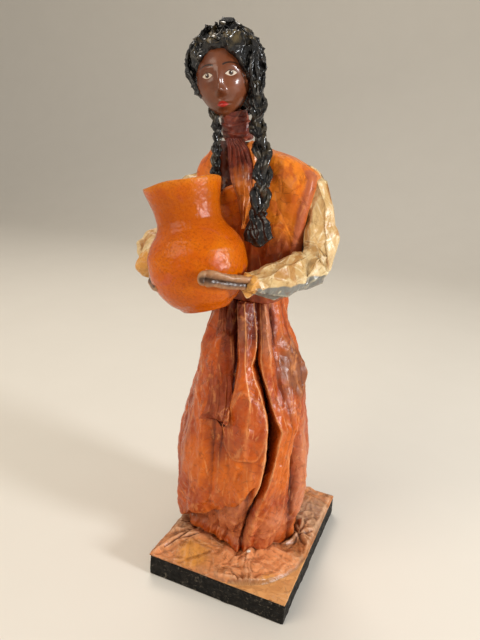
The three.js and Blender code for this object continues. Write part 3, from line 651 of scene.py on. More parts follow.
def skirt_masks(angle, height, panel, under, oval):
    """Where the skirt's paper is painted darker as shade, lighter on its creases (partly wear, partly
    painted highlight), lighter under the tuck as painted light, or stained another colour.
    """
    # Painted shade in the deep fold, beside the strip and the side, under the tucked bag and under the
    # strip's knot.
    deep = crease_mask(panel, FLOOR_CREASE, 0.55) * ease(150, 130, height) * ease(HEM, 45, height) * 0.9
    deep = np.maximum(deep, crease_mask(panel, STRIP_CREASE, 0.4) * ease(100, 112, height) * 0.8)
    deep = np.maximum(deep, crease_mask(panel, SIDE_CREASE, 0.3) * ease(85, 70, height) * 0.6)
    deep = np.maximum(deep, 0.3 * under * ease(-20, -50, angle))
    deep = np.maximum(deep, 0.5 * patch(angle, height, -4, 86, 9, 13))
    # Listed creases are painted lighter or darker, fainter low down.
    upper = mix(0.15, 1, ease(62, 95, height)) + crease_mask(panel, FLOOR_CREASE, 1.3)
    wear_and_highlight = sum(crease_mask(panel, which, 0.09) for which in WEAR_AND_HIGHLIGHT_CREASES) * np.minimum(upper, 1)
    dark = sum(crease_mask(panel, which, 0.14) for which in DARK_CREASES) * np.minimum(upper, 1)
    # The lips of the deep fold and the flap's edge are painted light: partly wear, partly painted
    # highlight.
    lips = crease_mask(panel, LEFT_LIP, 0.07) + 0.8 * crease_mask(panel, RIGHT_LIP, 0.06)
    lips = lips * ease(45, 70, height) + crease_mask(panel, FLAP_CREASE, 0.06) * ease(104, 116, height)

    def patches(*rows):
        return sum(strength * patch(angle, height, *place) for strength, *place in rows)

    return {
        # The oval panel's rim is painted lighter too: partly wear, partly painted highlight.
        "ridge": 0.6 * bell(oval - 0.97, 0.04) + 0.9 * wear_and_highlight,
        "valley": 0.1 * under + 0.9 * dark,
        "deep": deep,
        "lips": np.clip(1.2 * lips, 0, 1),
        # Darker at the front towards the waist, under the pot and the arm: painted shade.
        "dusk": ease(118, 160, height) * ease(-30, -5, angle) * ease(75, 55, angle),
        "olive": patches((1, 76, 128, 20, 18), (0.8, 100, 120, 16, 14)),
        "yellow": patches((1, 14, 68, 26, 15), (1, -30, 68, 20, 18), (1, 62, 76, 16, 24)),
        # Rose is pink paint in patches, and on the tucked part under the bag it is painted light where the
        # bag shades it.
        "rose": 0.9 * under + patches(
            (1, 44, 150, 9, 18), (0.6, 14, 150, 8, 14), (0.9, 52, 32, 22, 16), (0.7, 15, 34, 16, 14),
            (1.2, 88, 60, 10, 34),
        ),
    }


def offset_on_skirt(angle, height, out):
    """Points at free angles on the front of the skirt, held out from its surface."""
    stations = np.array([crease(height) for crease in creases[:FLOOR_CREASE]])
    offset = np.zeros(np.shape(angle))
    for index in range(len(stations) - 1):
        low, high = stations[index], stations[index + 1]
        share = (angle - low[..., 0]) / (high[..., 0] - low[..., 0])
        inside = (share >= 0) & (share <= 1)
        offset = np.where(inside, mix(low[..., 1], high[..., 1], share), offset)
    outline = skirt_outline(height)
    radius = skirt_radius(angle, height, offset, outline, ragged=False)[0]
    return place_on_skirt(angle, height, radius + out, outline)


# ---- strip that hangs on the skirt ----
STRIP = {"foot": 100, "top": 160, "pleats": 3.4, "thick": 1.0, "fold": 1.3, "gather": 1.9, "ragged": 2.2}
# Height, and the angles of its two edges.
strip_edges = track([
    (100, -22, 6), (104, -20, 6), (115, -20, 2), (130, -22, -5), (150, -27, -14), (160, -30, -19),
])


def strip_piece(material):
    """A pleated strip, gathered in a knot of folds at its foot."""
    across, up = np.meshgrid(np.linspace(0, 1, 61), np.linspace(0, 1, 130))
    height = mix(STRIP["foot"], STRIP["top"], up)
    edges = strip_edges(height)
    place = across * STRIP["pleats"] + 0.10 * np.sin(6 * up + 2 * across) + 0.35
    fold = lap(np.mod(place, 1), 0.9)
    angle = mix(edges[..., 0], edges[..., 1], across) + 0.3 * np.sin(11 * up + 5 * across)
    gather = ease(108, 101, height)
    foot = height - STRIP["ragged"] * facet_noise(across * 6, 0 * across, 21) * ease(0.08, 0, up)
    tall = 0.55 + 0.45 * facet_noise(place * 1.5, up * 4, 22)
    knot = gather * (0.5 + 0.5 * facet_noise(across * 5, up * 30, 23))
    out = GAP + STRIP["thick"] + STRIP["fold"] * fold * tall * (1 - 0.4 * gather) + STRIP["gather"] * knot
    front = offset_on_skirt(angle, foot, out)
    front[..., 1] -= 0.5 * facet_noise(across * 6 + 9, up * 14, 24) * (0.6 + 0.8 * gather)
    back = offset_on_skirt(angle, foot, GAP * 1.5)
    ridge, valley = crease_masks(front, closed=False)
    # Darker towards its top at the waist: painted shade; ridges and valleys as on the dress.
    masks = {"ridge": 0.6 * ridge, "valley": 0.3 * valley, "deep": 0.4 * ease(135, 160, height)}
    make_piece("pleated_strip", [sheet_part(front, back, masks)], "dress_paper", material, "sash_end")


# ---- bodice ----
bodice_outline = track([
    (WAIST + GAP, -9.6, 0, 20.5, 16), (172, -7.4, 0, 26, 16.5), (190, -9, 0, 29, 15.5),
    (204, -9.2, 0, 30, 15.5), (216, -9.2, -0.5, 32.8, 15), (226, -8.8, -1, 33.6, 13.5),
    (231, -9.6, -1.5, 30.5, 12.5), (235, -11, -2.5, 25, 12), (239, -15, -4, 17, 10.5),
    (NECK_HOLE - GAP, -20.8, -5.5, 8.4, 7.5),
])
# The open neck: height, and x of its two edges.
opening = track([(214, -25.2, -24.6), (219, -26, -21), (226, -26.6, -9), (240, -28, -12)])
OPENING = {"depth": 3.6, "soft": 0.35, "foot": 213}
BODICE_SQUARE = 0.66  # below 1, the section is nearer to a rectangle
# Rolled edge of the left armhole on the front: height, x.
armhole = track([(180, 19.4), (189, 19.6), (204, 20.2), (217, 23), (227, 24.4), (234, 20)])
# The lapel on the figure's left, beside the scarf ends: height, x.
lapel_line = track([(196, -7.4), (206, -5.4), (213, -4.6), (226, -4.4), (239, -7), (243, -11)])


def bodice_piece(material):
    turn, rise = np.meshgrid(np.arange(300) / 300, np.linspace(0, 1, 170))
    height = mix(WAIST + GAP, NECK_HOLE - GAP, rise)
    x, y, width, depth = np.moveaxis(bodice_outline(height), -1, 0)
    sine, cosine = np.sin(2 * math.pi * turn), np.cos(2 * math.pi * turn)
    side = x + np.sign(sine) * np.abs(sine) ** BODICE_SQUARE * width
    front = cosine > 0
    right, left = np.moveaxis(opening(height), -1, 0)
    soft = OPENING["soft"]
    open_share = ease(right - soft, right + soft, side) * (1 - ease(left - soft, left + soft, side))
    open_share = open_share * front * ease(OPENING["foot"], OPENING["foot"] + 4, height)
    # Crisp folds run down between the pot and the arm, and the chest stays smooth.
    gathered = ease(205, 178, height)
    fold = facet_noise(side / 5.5 + 30, height / 45 + 0.1 * np.sin(side), 33)
    calm = facet_noise(side / 12 + 30, height / 15, 34)
    deep = depth - OPENING["depth"] * open_share + (2.4 * gathered + 0.5) * fold + 0.7 * calm
    points = np.stack([side, y - np.sign(cosine) * np.abs(cosine) ** BODICE_SQUARE * deep, height], -1)
    reach = side - armhole(height)[..., 0]
    rolled = bell(reach + 2.3, 1.9) * front * ease(233, 228, height) * ease(176, 186, height)
    beyond = ease(-0.3, 0.6, reach) * front * ease(231, 226, height)
    lapel = bell(side - lapel_line(height)[..., 0], 1.0) * front * ease(198, 206, height)
    flap = bell(side - left - 1.0, 0.9) * front * ease(213, 217, height) * ease(228, 224, height)
    folded = crumple(points, 31, 11, 0.13, along=(0, 0, 1)) * (0.5 + 1.2 * gathered)
    folded = folded + crumple(points, 32, 4, 0.1)
    points = raise_surface(points, folded + 1.5 * rolled + 2.2 * lapel + 0.7 * flap - 1.6 * beyond)
    ridge, valley = crease_masks(points)
    masks = {
        # The lapel edge is painted lighter with the ridges: partly wear, partly painted highlight.
        "ridge": np.clip(0.7 * ridge + 0.7 * lapel, 0, 1),
        "valley": 0.5 * valley,
        # Painted shade in the open neck, behind the rolled armhole edge and in the folds low on the front.
        "deep": np.clip(0.95 * open_share + 0.7 * beyond + 0.4 * gathered * (fold < -0.3), 0, 1),
        # The rolled edge is pinker: partly the paper's tone, partly painted sheen.
        "edge": np.clip(rolled * 1.3, 0, 1),
        # Darker on the lower front, behind the pot: painted shade.
        "low": ease(214, 184, height) * front,
    }
    make_piece("paper_tunic", [(points, masks)], "tunic_paper", material, "bodice")


# ---- scarf round the neck ----
# Rows of limbs: x, y, z, half width, half depth.
SCARF = [
    (-18, -5.8, 243.2, 7.4, 7.8), (-18.6, -6.4, 247, 7.4, 7.8), (-20, -7, 252, 7.4, 7.6),
    (-21, -7.6, 256.5, 7.2, 7.4),
]
SCARF_WRAPS = 4.3
SCARF_ENDS = {"top": 244, "foot": 201, "lie": 236, "pleats": 5, "thick": 0.9, "fold": 1.1, "crown": 1.6}
# Height, and x of the two edges of the hanging ends.
scarf_edges = track([
    (201, -9.8, -7.8), (206, -10.6, -6.6), (213, -12.3, -5.8), (220, -14.6, -5.4), (226, -17.4, -5.6),
    (232, -19, -6), (239, -19.6, -8.4), (244, -21, -13),
])


def scarf_ring():
    """Paper wound round the neck in slanting, lapping turns."""
    def wound(turn, rise, points):
        slant = 0.45 * np.sin(2 * math.pi * turn + 0.6) + 0.16 * np.sin(4 * math.pi * turn)
        uneven = 0.2 * facet_noise(turn * 9, rise * 5, 41, 9)
        fold = lap(np.mod(SCARF_WRAPS * rise + slant + uneven, 1), 0.8)
        tall = 0.6 + 0.5 * facet_noise(turn * 5, rise * 4, 42, 5)
        return 0.9 * fold * tall - 0.5 + crumple(points, 43, 3.2, 0.3)

    ring = limb(SCARF, 90, 140, dent=wound)
    ridge, valley = crease_masks(ring, sharp=0.5, least=0.15)
    return ring, {"ridge": 0.7 * ridge, "valley": valley}


def scarf_ends():
    """The pleated ends that lie on the chest."""
    across, up = np.meshgrid(np.linspace(0, 1, 61), np.linspace(0, 1, 110))
    height = mix(SCARF_ENDS["foot"], SCARF_ENDS["top"], up)
    outline = bodice_outline(np.minimum(height, SCARF_ENDS["lie"]))
    edges = scarf_edges(height)
    x = mix(edges[..., 0], edges[..., 1], across) + 0.35 * np.sin(7 * up)
    place = across * SCARF_ENDS["pleats"] + 0.5 * np.sin(4 * up + 3 * across)
    place = place + 0.3 * facet_noise(across * 2, up * 3, 46)
    fold = lap(np.mod(place, 1), 0.75) * (0.6 + 0.5 * facet_noise(place, up * 5, 44))
    lie = outline[..., 1] - outline[..., 3] - GAP
    crown = SCARF_ENDS["crown"] * (1 - (2 * across - 1) ** 2)
    front = np.stack([x, lie - SCARF_ENDS["thick"] - SCARF_ENDS["fold"] * fold - crown, height], -1)
    front[..., 1] += crumple(front, 45, 3.6, 0.3, along=(0, 0, 1))
    back = np.stack([x, lie + 3.5, height], -1)
    ridge, valley = crease_masks(front, closed=False, sharp=0.5, least=0.15)
    low = ease(0.8, 0.05, up + 0.25 * facet_noise(place * 1.5, up * 3, 47))
    return sheet_part(front, back, {"ridge": 0.7 * ridge, "valley": 0.6 * valley, "low": low})


# ---- arms ----
LEFT_ARM = [
    (13, 0, 231.5, 4, 4.5), (19, 0, 227, 6.6, 6), (23.5, 0, 214, 7.2, 7), (26.5, -1, 201, 7.4, 8),
    (28, -5, 188.5, 8.4, 9.2), (24, -19, 182.5, 9, 9.2), (16.5, -33, 181, 8.2, 8.4),
    (10.6, -45, 180.8, 5.8, 5.8), (8.4, -51, 181.8, 4.6, 4.6),
]
RIGHT_ARM = [
    (-36, -3, 226, 4, 6), (-41, -3, 221, 6.6, 7.5), (-48, -4, 210, 7.2, 7.5), (-53, -6, 199, 7.4, 8),
    (-56, -10, 190.5, 8.2, 8.8), (-56.5, -20, 186, 8.4, 8.6), (-53.5, -30, 182, 7.4, 7.6),
    (-50, -37.5, 178.5, 5.2, 5.2),
]
LEFT_HAND = [
    (11, -47, 181.6, 3, 2.8), (8, -51.5, 182.2, 3.3, 2.8), (2, -60.5, 184.2, 3.6, 2.7),
    (-2.4, -65.3, 185.4, 4.0, 2.6), (-4.6, -67.0, 185.8, 3.5, 2.3),
]
RIGHT_HAND = [
    (-50, -32, 178.5, 3, 2.6), (-47.5, -39, 177, 3.4, 2.8), (-43.5, -47, 176.5, 3.5, 2.8),
    (-38, -54, 176.5, 3.4, 2.6), (-34, -58, 176.5, 3, 2.2),
]


def sleeve_piece(name, rows, seed, material, node):
    """A crumpled sleeve: a coarse tube of flat facets, with finer folds pressed into it."""
    random = np.random.default_rng(seed)
    along, around, fine = 12, 8, 15
    coarse = limb(rows, along, around)
    middle = coarse.mean(axis=1, keepdims=True)
    away = unit(coarse - middle)
    ahead = unit(np.gradient(middle, axis=0))
    rise = np.linspace(0, 1, along + 1)[:, None]
    shrink = ease(0, 0.1, rise) * (1 - 0.75 * ease(0.85, 1, rise))

    def shift(direction, low, high):
        return direction * (random.uniform(low, high, coarse.shape[:2]) * shrink)[..., None]

    coarse = coarse + shift(away, -1.7, 2.2)
    coarse[1:-1] += shift(ahead, -2.4, 2.4)[1:-1]
    coarse = coarse + shift(np.cross(away, ahead), -1.6, 1.6)
    points = flat_facets(coarse, fine, fine, seed)
    count, columns, _ = points.shape
    turn, rise = np.meshgrid(np.arange(columns) / columns, np.linspace(0, 1, count))
    flare = 1.6 * bell(rise - 0.93, 0.035) * (0.5 + 0.5 * facet_noise(turn * 7, 0 * turn, seed + 4, 7))
    folds = crumple(points, seed + 1, 9, 0.32) + crumple(points, seed + 2, 3.6, 0.13)
    points = raise_surface(points, folds + flare)
    ridge, valley = crease_masks(points, sharp=0.5, least=0.15)
    below = -grid_normals(limb(rows, count - 1, columns))[..., 2]
    below = below + 0.2 * facet_noise(turn * 6, rise * 8, seed + 5, 6)
    tan = facet_noise(turn * 9 + 0.3, rise * 15, seed + 3, 9)
    masks = {
        "ridge": ridge,
        "valley": 0.5 * valley,
        # The underside is painted grey-blue: a painted reflection of the sky and window.
        "under": ease(0.12, 0.34, below) * ease(0.45, 0.6, rise),
        "tan": ease(0.3, 0.6, tan) + 0.8 * bell(rise - 0.04, 0.05),
        "cuff": ease(0.88, 0.93, rise),
    }
    make_piece(name, [(points, masks)], "cream_paper", material, node)


def hand_piece(name, rows, seed, material, node):
    """A hand rolled from paper: two thick lips round a soft furrow, round at the tip."""
    def furrow_at(turn):
        return bell(np.mod(turn + 0.5, 1) - 0.5 + 0.02, 0.115)

    def furrow(turn, rise, points):
        rolled = -2.1 * furrow_at(turn) * ease(0, 0.1, rise) * ease(1.02, 0.96, rise)
        uneven = 0.35 * facet_noise(turn * 11, rise * 9, seed, 11)
        return rolled + uneven + crumple(points, seed + 1, 2.2, 0.15)

    points = limb(rows, 100, 90, dent=furrow, dome=3.0)
    count, columns, _ = points.shape
    turn, rise = np.meshgrid(np.arange(columns) / columns, np.linspace(0, 1, count))
    ridge, _ = crease_masks(points)
    groove = furrow_at(turn) * ease(1.0, 0.95, rise)
    masks = {"groove": np.clip(1.2 * groove, 0, 1), "ridge": ridge}
    make_piece(name, [(points, masks)], "hand_paper", material, node)


# ---- head ----
HAIR = {
    "origin": (-25, -9.5, 273.5), "lean": 13, "nod": 6, "turn": 0,
    "width": 41, "depth": 37, "height": 42.2, "side": -0.8, "up": 1.8, "back": 2.5,
    "square": 0.86, "taper_left": 0.15, "taper_right": 0.42, "long_left": 1.06, "long_right": 1.2,
}
# Opening of the hair at the face, in the hair's frame.
FACE_OPENING = {"middle": 0.8, "half": 13, "top": 11.6, "bottom": -30}


def turned_frame(size):
    return (
        Matrix.Translation(Vector(size["origin"]))
        @ Matrix.Rotation(math.radians(size["turn"]), 4, "Z")
        @ Matrix.Rotation(-math.radians(size["lean"]), 4, "Y")
        @ Matrix.Rotation(math.radians(size["nod"]), 4, "X")
    )


def to_frame(size, x, front, up):
    """Points from (side, front, up) of the head, the hair or the pot to the part's frame."""
    local = np.stack([x, -front, up, np.ones_like(x)], -1)
    return local @ np.array(turned_frame(size)).T[:, :3]


def from_frame(size, points):
    turn = np.array(turned_frame(size))
    local = (points - turn[:3, 3]) @ turn[:3, :3]
    return local[..., 0], -local[..., 1], local[..., 2]


def ball_directions(around, along):
    """Unit directions side, up, front of a ball with its poles at the top and the bottom."""
    turn = 2 * math.pi * np.arange(around) / around
    swing = np.linspace(-math.pi / 2, math.pi / 2, along + 1)[1:-1]
    turn, swing = np.meshgrid(turn, swing)
    return np.sin(turn) * np.cos(swing), np.sin(swing), np.cos(turn) * np.cos(swing)


# Relief of the face, in head sizes: side, up, spread sideways, spread up, how far it stands out.
# Eyes lie at half the height, the nose ends midway between eyes and chin, the mouth a third below it.
# A row that is off the middle counts for both sides.
FACE = [
    (0, -0.08, 0.055, 0.12, 0.06), (0, -0.2, 0.075, 0.055, 0.085),  # bridge and tip of the nose
    (0.065, -0.215, 0.045, 0.035, 0.03),  # nostrils
    (0, -0.325, 0.11, 0.03, 0.045), (0, -0.375, 0.095, 0.026, 0.04),  # lips
    (0, -0.345, 0.13, 0.011, -0.018),  # the line between the lips
    (0, -0.275, 0.03, 0.03, -0.012), (0, -0.42, 0.09, 0.022, -0.015),  # hollows above and below them
    (0, -0.475, 0.13, 0.055, 0.03),  # chin
    (0.21, 0, 0.11, 0.045, -0.04), (0.21, 0, 0.075, 0.026, 0.022),  # eye sockets and eyes
    (0.2, 0.095, 0.14, 0.035, 0.018), (0.27, -0.17, 0.13, 0.09, 0.02),  # brows and cheeks
]


def face_relief(side, up):
    relief = 0
    for at_side, at_up, wide, tall, out in FACE:
        for middle in (at_side, -at_side) if at_side else (0,):
            relief = relief + out * bell(side - middle, wide) * bell(up - at_up, tall)
    return relief


def head_piece(material):
    side, up, front = ball_directions(240, 200)
    narrow = 1 - 0.24 * ease(-0.1, -1, up) - 0.04 * ease(0.4, 1, up)
    x = side * HEAD["width"] / 2 * narrow
    z = up * HEAD["height"] / 2
    flatter = np.where(front > 0, mix(1, 0.9, ease(0.2, -1, up)), 1)
    relief = face_relief(x / HEAD["width"], z / HEAD["height"]) * ease(0, 0.5, front)
    points = to_frame(HEAD, x, (front / 2 * flatter + relief) * HEAD["depth"], z)
    head = points, {"side": x, "up": z, "front": ease(0.1, 0.4, front)}
    radius = NECK["radius"]
    neck_rows = [(*NECK["foot"], radius, radius), (-21.5, -7.5, 252, 5.7, 5.7), (-23.5, -8, 262, 5.7, 5.7)]
    neck = limb(neck_rows, 20, 48), {}
    make_piece("painted_head", [head, neck], "painted_skin", material, "head")


# ---- hair ----
def hair_cap(side, up, front):
    """Side, front and up, in millimetres, of the cap of hair in a unit direction."""
    right = side < 0
    long = np.where(up < 0, np.where(right, HAIR["long_right"], HAIR["long_left"]), 1.0)
    taper = np.where(right, HAIR["taper_right"], HAIR["taper_left"])
    wide = np.sign(side) * np.abs(side) ** HAIR["square"]
    x = wide * HAIR["width"] / 2 * (1 - taper * ease(0.3, -1, up)) + HAIR["side"]
    y = front * HAIR["depth"] / 2 - HAIR["back"]
    z = up * HAIR["height"] / 2 * long + HAIR["up"]
    return x, y, z


def in_face_opening(x, z, margin):
    middle = (FACE_OPENING["top"] + FACE_OPENING["bottom"]) / 2
    half = (FACE_OPENING["top"] - FACE_OPENING["bottom"]) / 2
    across = np.abs((x - FACE_OPENING["middle"]) / FACE_OPENING["half"])
    return ease(1 + margin, 1 - margin, across ** 2.2 + np.abs((z - middle) / half) ** 3.0)


def hair_piece(material):
    """A cap of crumpled paper lumps, open at the face, with loose strips pressed on it."""
    random = np.random.default_rng(51)
    side, up, front = ball_directions(26, 15)
    x, y, z = hair_cap(side, up, front)
    lump = random.uniform(-0.14, 0.03, x.shape)
    drift = random.uniform(-1.7, 1.7, (3, *x.shape))
    x, y, z = (part * (1 + lump) + shift for part, shift in zip((x, y, z), drift))
    points = flat_facets(to_frame(HAIR, x, y, z), 10, 10, 52)
    rows, columns, _ = points.shape
    turn, rise = np.meshgrid(np.arange(columns) / columns, np.linspace(0, 1, rows))
    x, y, z = from_frame(HAIR, points)
    window = in_face_opening(x, z, 0.05) * (y > 0)
    fine = facet_noise(turn * 60, rise * 44, 54, 60)
    crushed = crumple(points, 53, 4.2, 0.45) + crumple(points, 55, 2, 0.3) - 0.5 + 0.2 * fine
    points = raise_surface(points, crushed * (1 - window))
    # At the face the cap is drawn inside the head.
    hidden = to_frame(HAIR, x * 0.6, np.minimum(y, 6) * 0.6, z * 0.6)
    points = mix(points, hidden, window[..., None])
    ridge, valley = crease_masks(points, sharp=0.5, least=0.12)
    masks = {
        "ridge": ridge * (1 - window),
        # Valleys, and the cap hidden inside the face, are painted near black as shade.
        "valley": np.clip(valley + window, 0, 1),
        "crown": ease(6, 15, from_frame(HAIR, points)[2]),
    }
    strips = [hair_strip(index) for index in range(STRIPS["count"])]
    make_piece("crumpled_hair", [(points, masks), *strips], "hair_paper", material, "hair")


STRIPS = {"count": 22, "width": 3.6, "thick": 0.8, "steps": 15, "sunk": 1.0, "from": 74, "to": 300}
# Sections of strips of creased paper: sideways and outwards, in half widths and thicknesses.
STRIP_SECTION = [
    (-1, -0.2), (-0.6, 0.75), (-0.1, 0.25), (0.15, 1.0), (0.65, 0.55), (1, -0.2), (0.4, -1), (-0.4, -1),
]
STRAND_SECTION = [(-1, 0), (-0.55, 0.8), (0.0, 0.35), (0.3, 1.0), (1, 0.1), (0.5, -1), (-0.5, -1)]


def hair_strip(index):
    """A flat, creased strip of paper that lies on the cap and follows it down."""
    random = np.random.default_rng(600 + index)
    count = STRIPS["steps"]
    turn = math.radians(mix(STRIPS["from"], STRIPS["to"], index / (STRIPS["count"] - 1)))
    top = random.uniform(0.4, 1.3)
    swing = np.linspace(top, random.uniform(-0.9, 0.1), count)
    sway = turn + random.uniform(0.1, 0.3) * np.sin(3 * swing + random.uniform(0, 6))
    side, up, front = np.sin(sway) * np.cos(swing), np.sin(swing), np.cos(sway) * np.cos(swing)
    path = to_frame(HAIR, *hair_cap(side, up, front))
    out = unit(path - np.array(HAIR["origin"]) - (0, 2, 0))
    across = unit(np.cross(unit(np.gradient(path, axis=0)), out))
    out = np.cross(across, unit(np.gradient(path, axis=0)))
    path = path - out * STRIPS["sunk"]
    bend = random.uniform(-1, 1, count)
    tilt = random.uniform(-0.8, 0.8, count)
    half = STRIPS["width"] / 2 * random.uniform(0.7, 1.25) * (0.75 + 0.25 * bend)
    thick = STRIPS["thick"] * (1 + 0.5 * bend)
    section = [(flat * half, lift * thick) for flat, lift in STRIP_SECTION]
    coarse = ribbon(path, across, out, section, tilt)
    points = flat_facets(coarse + random.uniform(-0.5, 0.5, coarse.shape), 3, 2, index)
    ridge, valley = crease_masks(points, sharp=0.9, least=0.5)
    crown = ease(0.55, 0.1, np.linspace(0, 1, len(points)))[:, None]
    return points, {"ridge": ridge, "valley": valley, "crown": crown}


LEFT_BRAID = [
    (4.6, -28, 197, 8.6, 2.8), (3.4, -27, 203, 7.6, 3), (2.1, -25, 211, 5.6, 3.2), (2.4, -23, 222, 5, 3.4),
    (1.2, -20.5, 233, 4.6, 3.4), (-1.4, -17.5, 241, 4.4, 3.6), (-5.2, -14, 250, 4.4, 3.8),
    (-7.8, -10, 263, 4.8, 4), (-8.6, -9, 273, 3.6, 3.4),
]
RIGHT_BRAID = [
    (-24.4, -18.4, 211, 3, 1.8), (-24.6, -18.4, 218, 2.6, 1.8), (-24.8, -18, 233, 2.4, 1.9),
    (-25, -16.8, 244, 2.3, 2), (-28.4, -14, 254, 2.4, 2.2), (-33.4, -10.5, 264, 3, 2.6),
]
BRAID_ROWS = 34
CUT = {"slope": 0.7, "drop": 0.35}  # the foot is cut to a blunt point, higher at its sides


def braid_piece(name, rows, crossings, seed, material, node, fray):
    """Three flat strips of paper plaited together, loose and cut off ragged at the foot."""
    rows = np.array(rows, float)
    line = track(np.hstack([rows[:, 2:3], rows]))(np.linspace(rows[0, 2], rows[-1, 2], BRAID_ROWS))
    centre, width, depth = line[:, :3], line[:, 3], line[:, 4]
    ahead = unit(np.gradient(centre, axis=0))
    side = unit(np.cross(ahead, FRONT))
    front = np.cross(side, ahead)
    rise = np.linspace(0, 1, BRAID_ROWS)
    loose = ease(fray, fray * 0.45, rise)
    half, thick = width * 0.56, np.maximum(depth * 0.36, 0.8)
    parts = []
    for strand in range(3):
        random = np.random.default_rng(seed + strand)
        phase = 2 * math.pi * (crossings * rise + strand / 3)
        across = mix(np.sin(phase) * width * 0.5, (strand - 1) * width * 0.4, loose)
        out = mix(np.sin(2 * phase) * depth * 0.4, depth * 0.3 * (strand - 1), loose)
        path = centre + side * across[:, None] + front * out[:, None]
        section, ragged = [], []
        for flat, lift in STRAND_SECTION:
            flat = flat + random.uniform(-0.14, 0.14, BRAID_ROWS)
            lift = lift + random.uniform(-0.22, 0.22, BRAID_ROWS)
            section.append((flat * half, lift * thick))
            ragged.append(random.uniform(-0.5, 0.5))
        coarse = ribbon(path, side, front, section, 0.55 * np.cos(phase) * (1 - loose))
        slope = CUT["slope"] * np.abs(coarse[0, :, 0] - centre[0, 0])
        coarse[0, :, 2] += slope - CUT["drop"] * width[0] + ragged[::-1]
        points = flat_facets(coarse, 4, 4, seed + strand)
        points = raise_surface(points, crumple(points, seed + 10 + strand, 2.6, 0.45))
        ridge, valley = crease_masks(points, sharp=0.9, least=0.5)
        cut = ease(0.03, 0.0, np.linspace(0, 1, len(points)))[:, None]
        parts.append((points, {"ridge": np.clip(ridge + cut, 0, 1), "valley": valley, "crown": 0.35}))
    make_piece(name, parts, "hair_paper", material, node)


# ---- pot ----
# Outside of the pot: height, radius.
pot_outside = track([
    (0, 12), (5, 17.2), (12, 21.8), (20, 24), (27, 23.8), (34, 20.8), (39, 17), (43, 15.6),
    (48, 15.9), (54, 17.3), (POT["height"], 18.8),
])
POT_ROWS = {"foot": 8, "outside": 120, "inside": 90, "around": 170}


def pot_piece(material):
    """A turned pot: its outline runs out under the foot, up outside, over the lip and down inside."""
    tall, wall = POT["height"], POT["wall"]
    climb = np.linspace(0, tall - 0.9, POT_ROWS["outside"])
    groove = 0.14 * bell(climb - 39.4, 0.5) - 0.08 * bell(climb - 38.4, 0.6)
    outer = pot_outside(climb)[:, 0] + 0.012 * np.sin(climb * 2.3) + groove
    foot = [(0.0, radius) for radius in np.linspace(0.4, 11.0, POT_ROWS["foot"])] + [(0.25, 11.7)]
    edge = pot_outside(tall)[0]
    lip = [
        (tall - 0.5, edge - 0.02), (tall - 0.15, edge - 0.3), (tall, edge - 0.8), (tall, edge - 1.5),
        (tall - 0.25, edge - 2.0),
    ]
    down = np.linspace(tall - 0.9, wall + 0.6, POT_ROWS["inside"])
    inner = pot_outside(down)[:, 0] - mix(wall, POT["lip"], down / tall)
    wide = pot_outside(wall)[0] - wall - 2
    floor = [(wall, radius) for radius in np.linspace(wide, 0.4, POT_ROWS["foot"])]
    outside = foot + list(zip(climb[3:], outer[3:])) + lip
    rows = np.array(outside + list(zip(down, inner)) + floor)
    rise, radius = rows.T[..., None]
    turn = 2 * math.pi * np.arange(POT_ROWS["around"]) / POT_ROWS["around"]
    ring = radius * (1 + 0.006 * np.sin(2 * turn + 0.7) + 0.003 * np.sin(3 * turn))
    level = rise + ease(tall - 3, tall, rise) * 0.28 * np.sin(5 * turn + 1)
    points = to_frame(POT, ring * np.sin(turn), ring * np.cos(turn), level)
    inside = ease(len(outside) - 2, len(outside) + 6, np.arange(len(rows)))[:, None]
    make_piece("clay_pot", [(points, {"rise": rise / tall, "inside": inside})], "pot_clay", material, "pot")


# ---- block, sheet and pin ----
BLOCK_SKIN = {"corner": 0.9, "corner_steps": 7, "around": 520, "levels": 14}
# Rounding of the block's edges: distance from the foot or the top, how far in.
BLOCK_FOOT = [(0.0, 1.4), (0.0, 0.9), (0.25, 0.25), (0.8, 0.0)]
BLOCK_TOP = [(0.5, 0.08), (0.0, 0.5)]


def block_outline(width, depth):
    """Evenly spaced points round a rectangle of half width and half depth with round corners."""
    corner = BLOCK_SKIN["corner"]
    outline = []
    for side, back, start in ((1, -1, -90), (1, 1, 0), (-1, 1, 90), (-1, -1, 180)):
        centre = np.array([side * (width - corner), back * (depth - corner)])
        for swing in np.radians(np.linspace(start, start + 90, BLOCK_SKIN["corner_steps"])):
            outline.append(centre + corner * np.array([math.cos(swing), math.sin(swing)]))
    closed = np.array(outline + outline[:1])
    lengths = np.concatenate([[0], np.cumsum(np.linalg.norm(np.diff(closed, axis=0), axis=1))])
    steps = np.linspace(0, lengths[-1], BLOCK_SKIN["around"], endpoint=False)
    return np.stack([np.interp(steps, lengths, closed[:, axis]) for axis in (0, 1)], -1)


def block_piece(material):
    width, depth, height = BLOCK["width"] / 2, BLOCK["depth"] / 2, BLOCK["height"]
    rows = BLOCK_FOOT + [(level, 0.0) for level in np.linspace(1.4, height - 1.0, BLOCK_SKIN["levels"])]
    rows += [(height - down, inset) for down, inset in BLOCK_TOP]
    level, inset = np.array(rows).T[..., None]
    flat = block_outline(width, depth) * (1 - inset[..., None] / np.array([width, depth]))
    points = np.dstack([flat, np.broadcast_to(level, flat.shape[:2])])
    rough = crumple(points, 81, 5, 0.1) + crumple(points, 82, 1.9, 0.2) - 0.45
    points = raise_surface(points, rough * (level > 0.2) * (level < height - 0.2))
    masks = {"edge": bell(height - level, 1.6) + bell(level, 1.4)}
    make_piece("painted_block", [(points, masks)], "black_block", material, "base_block")


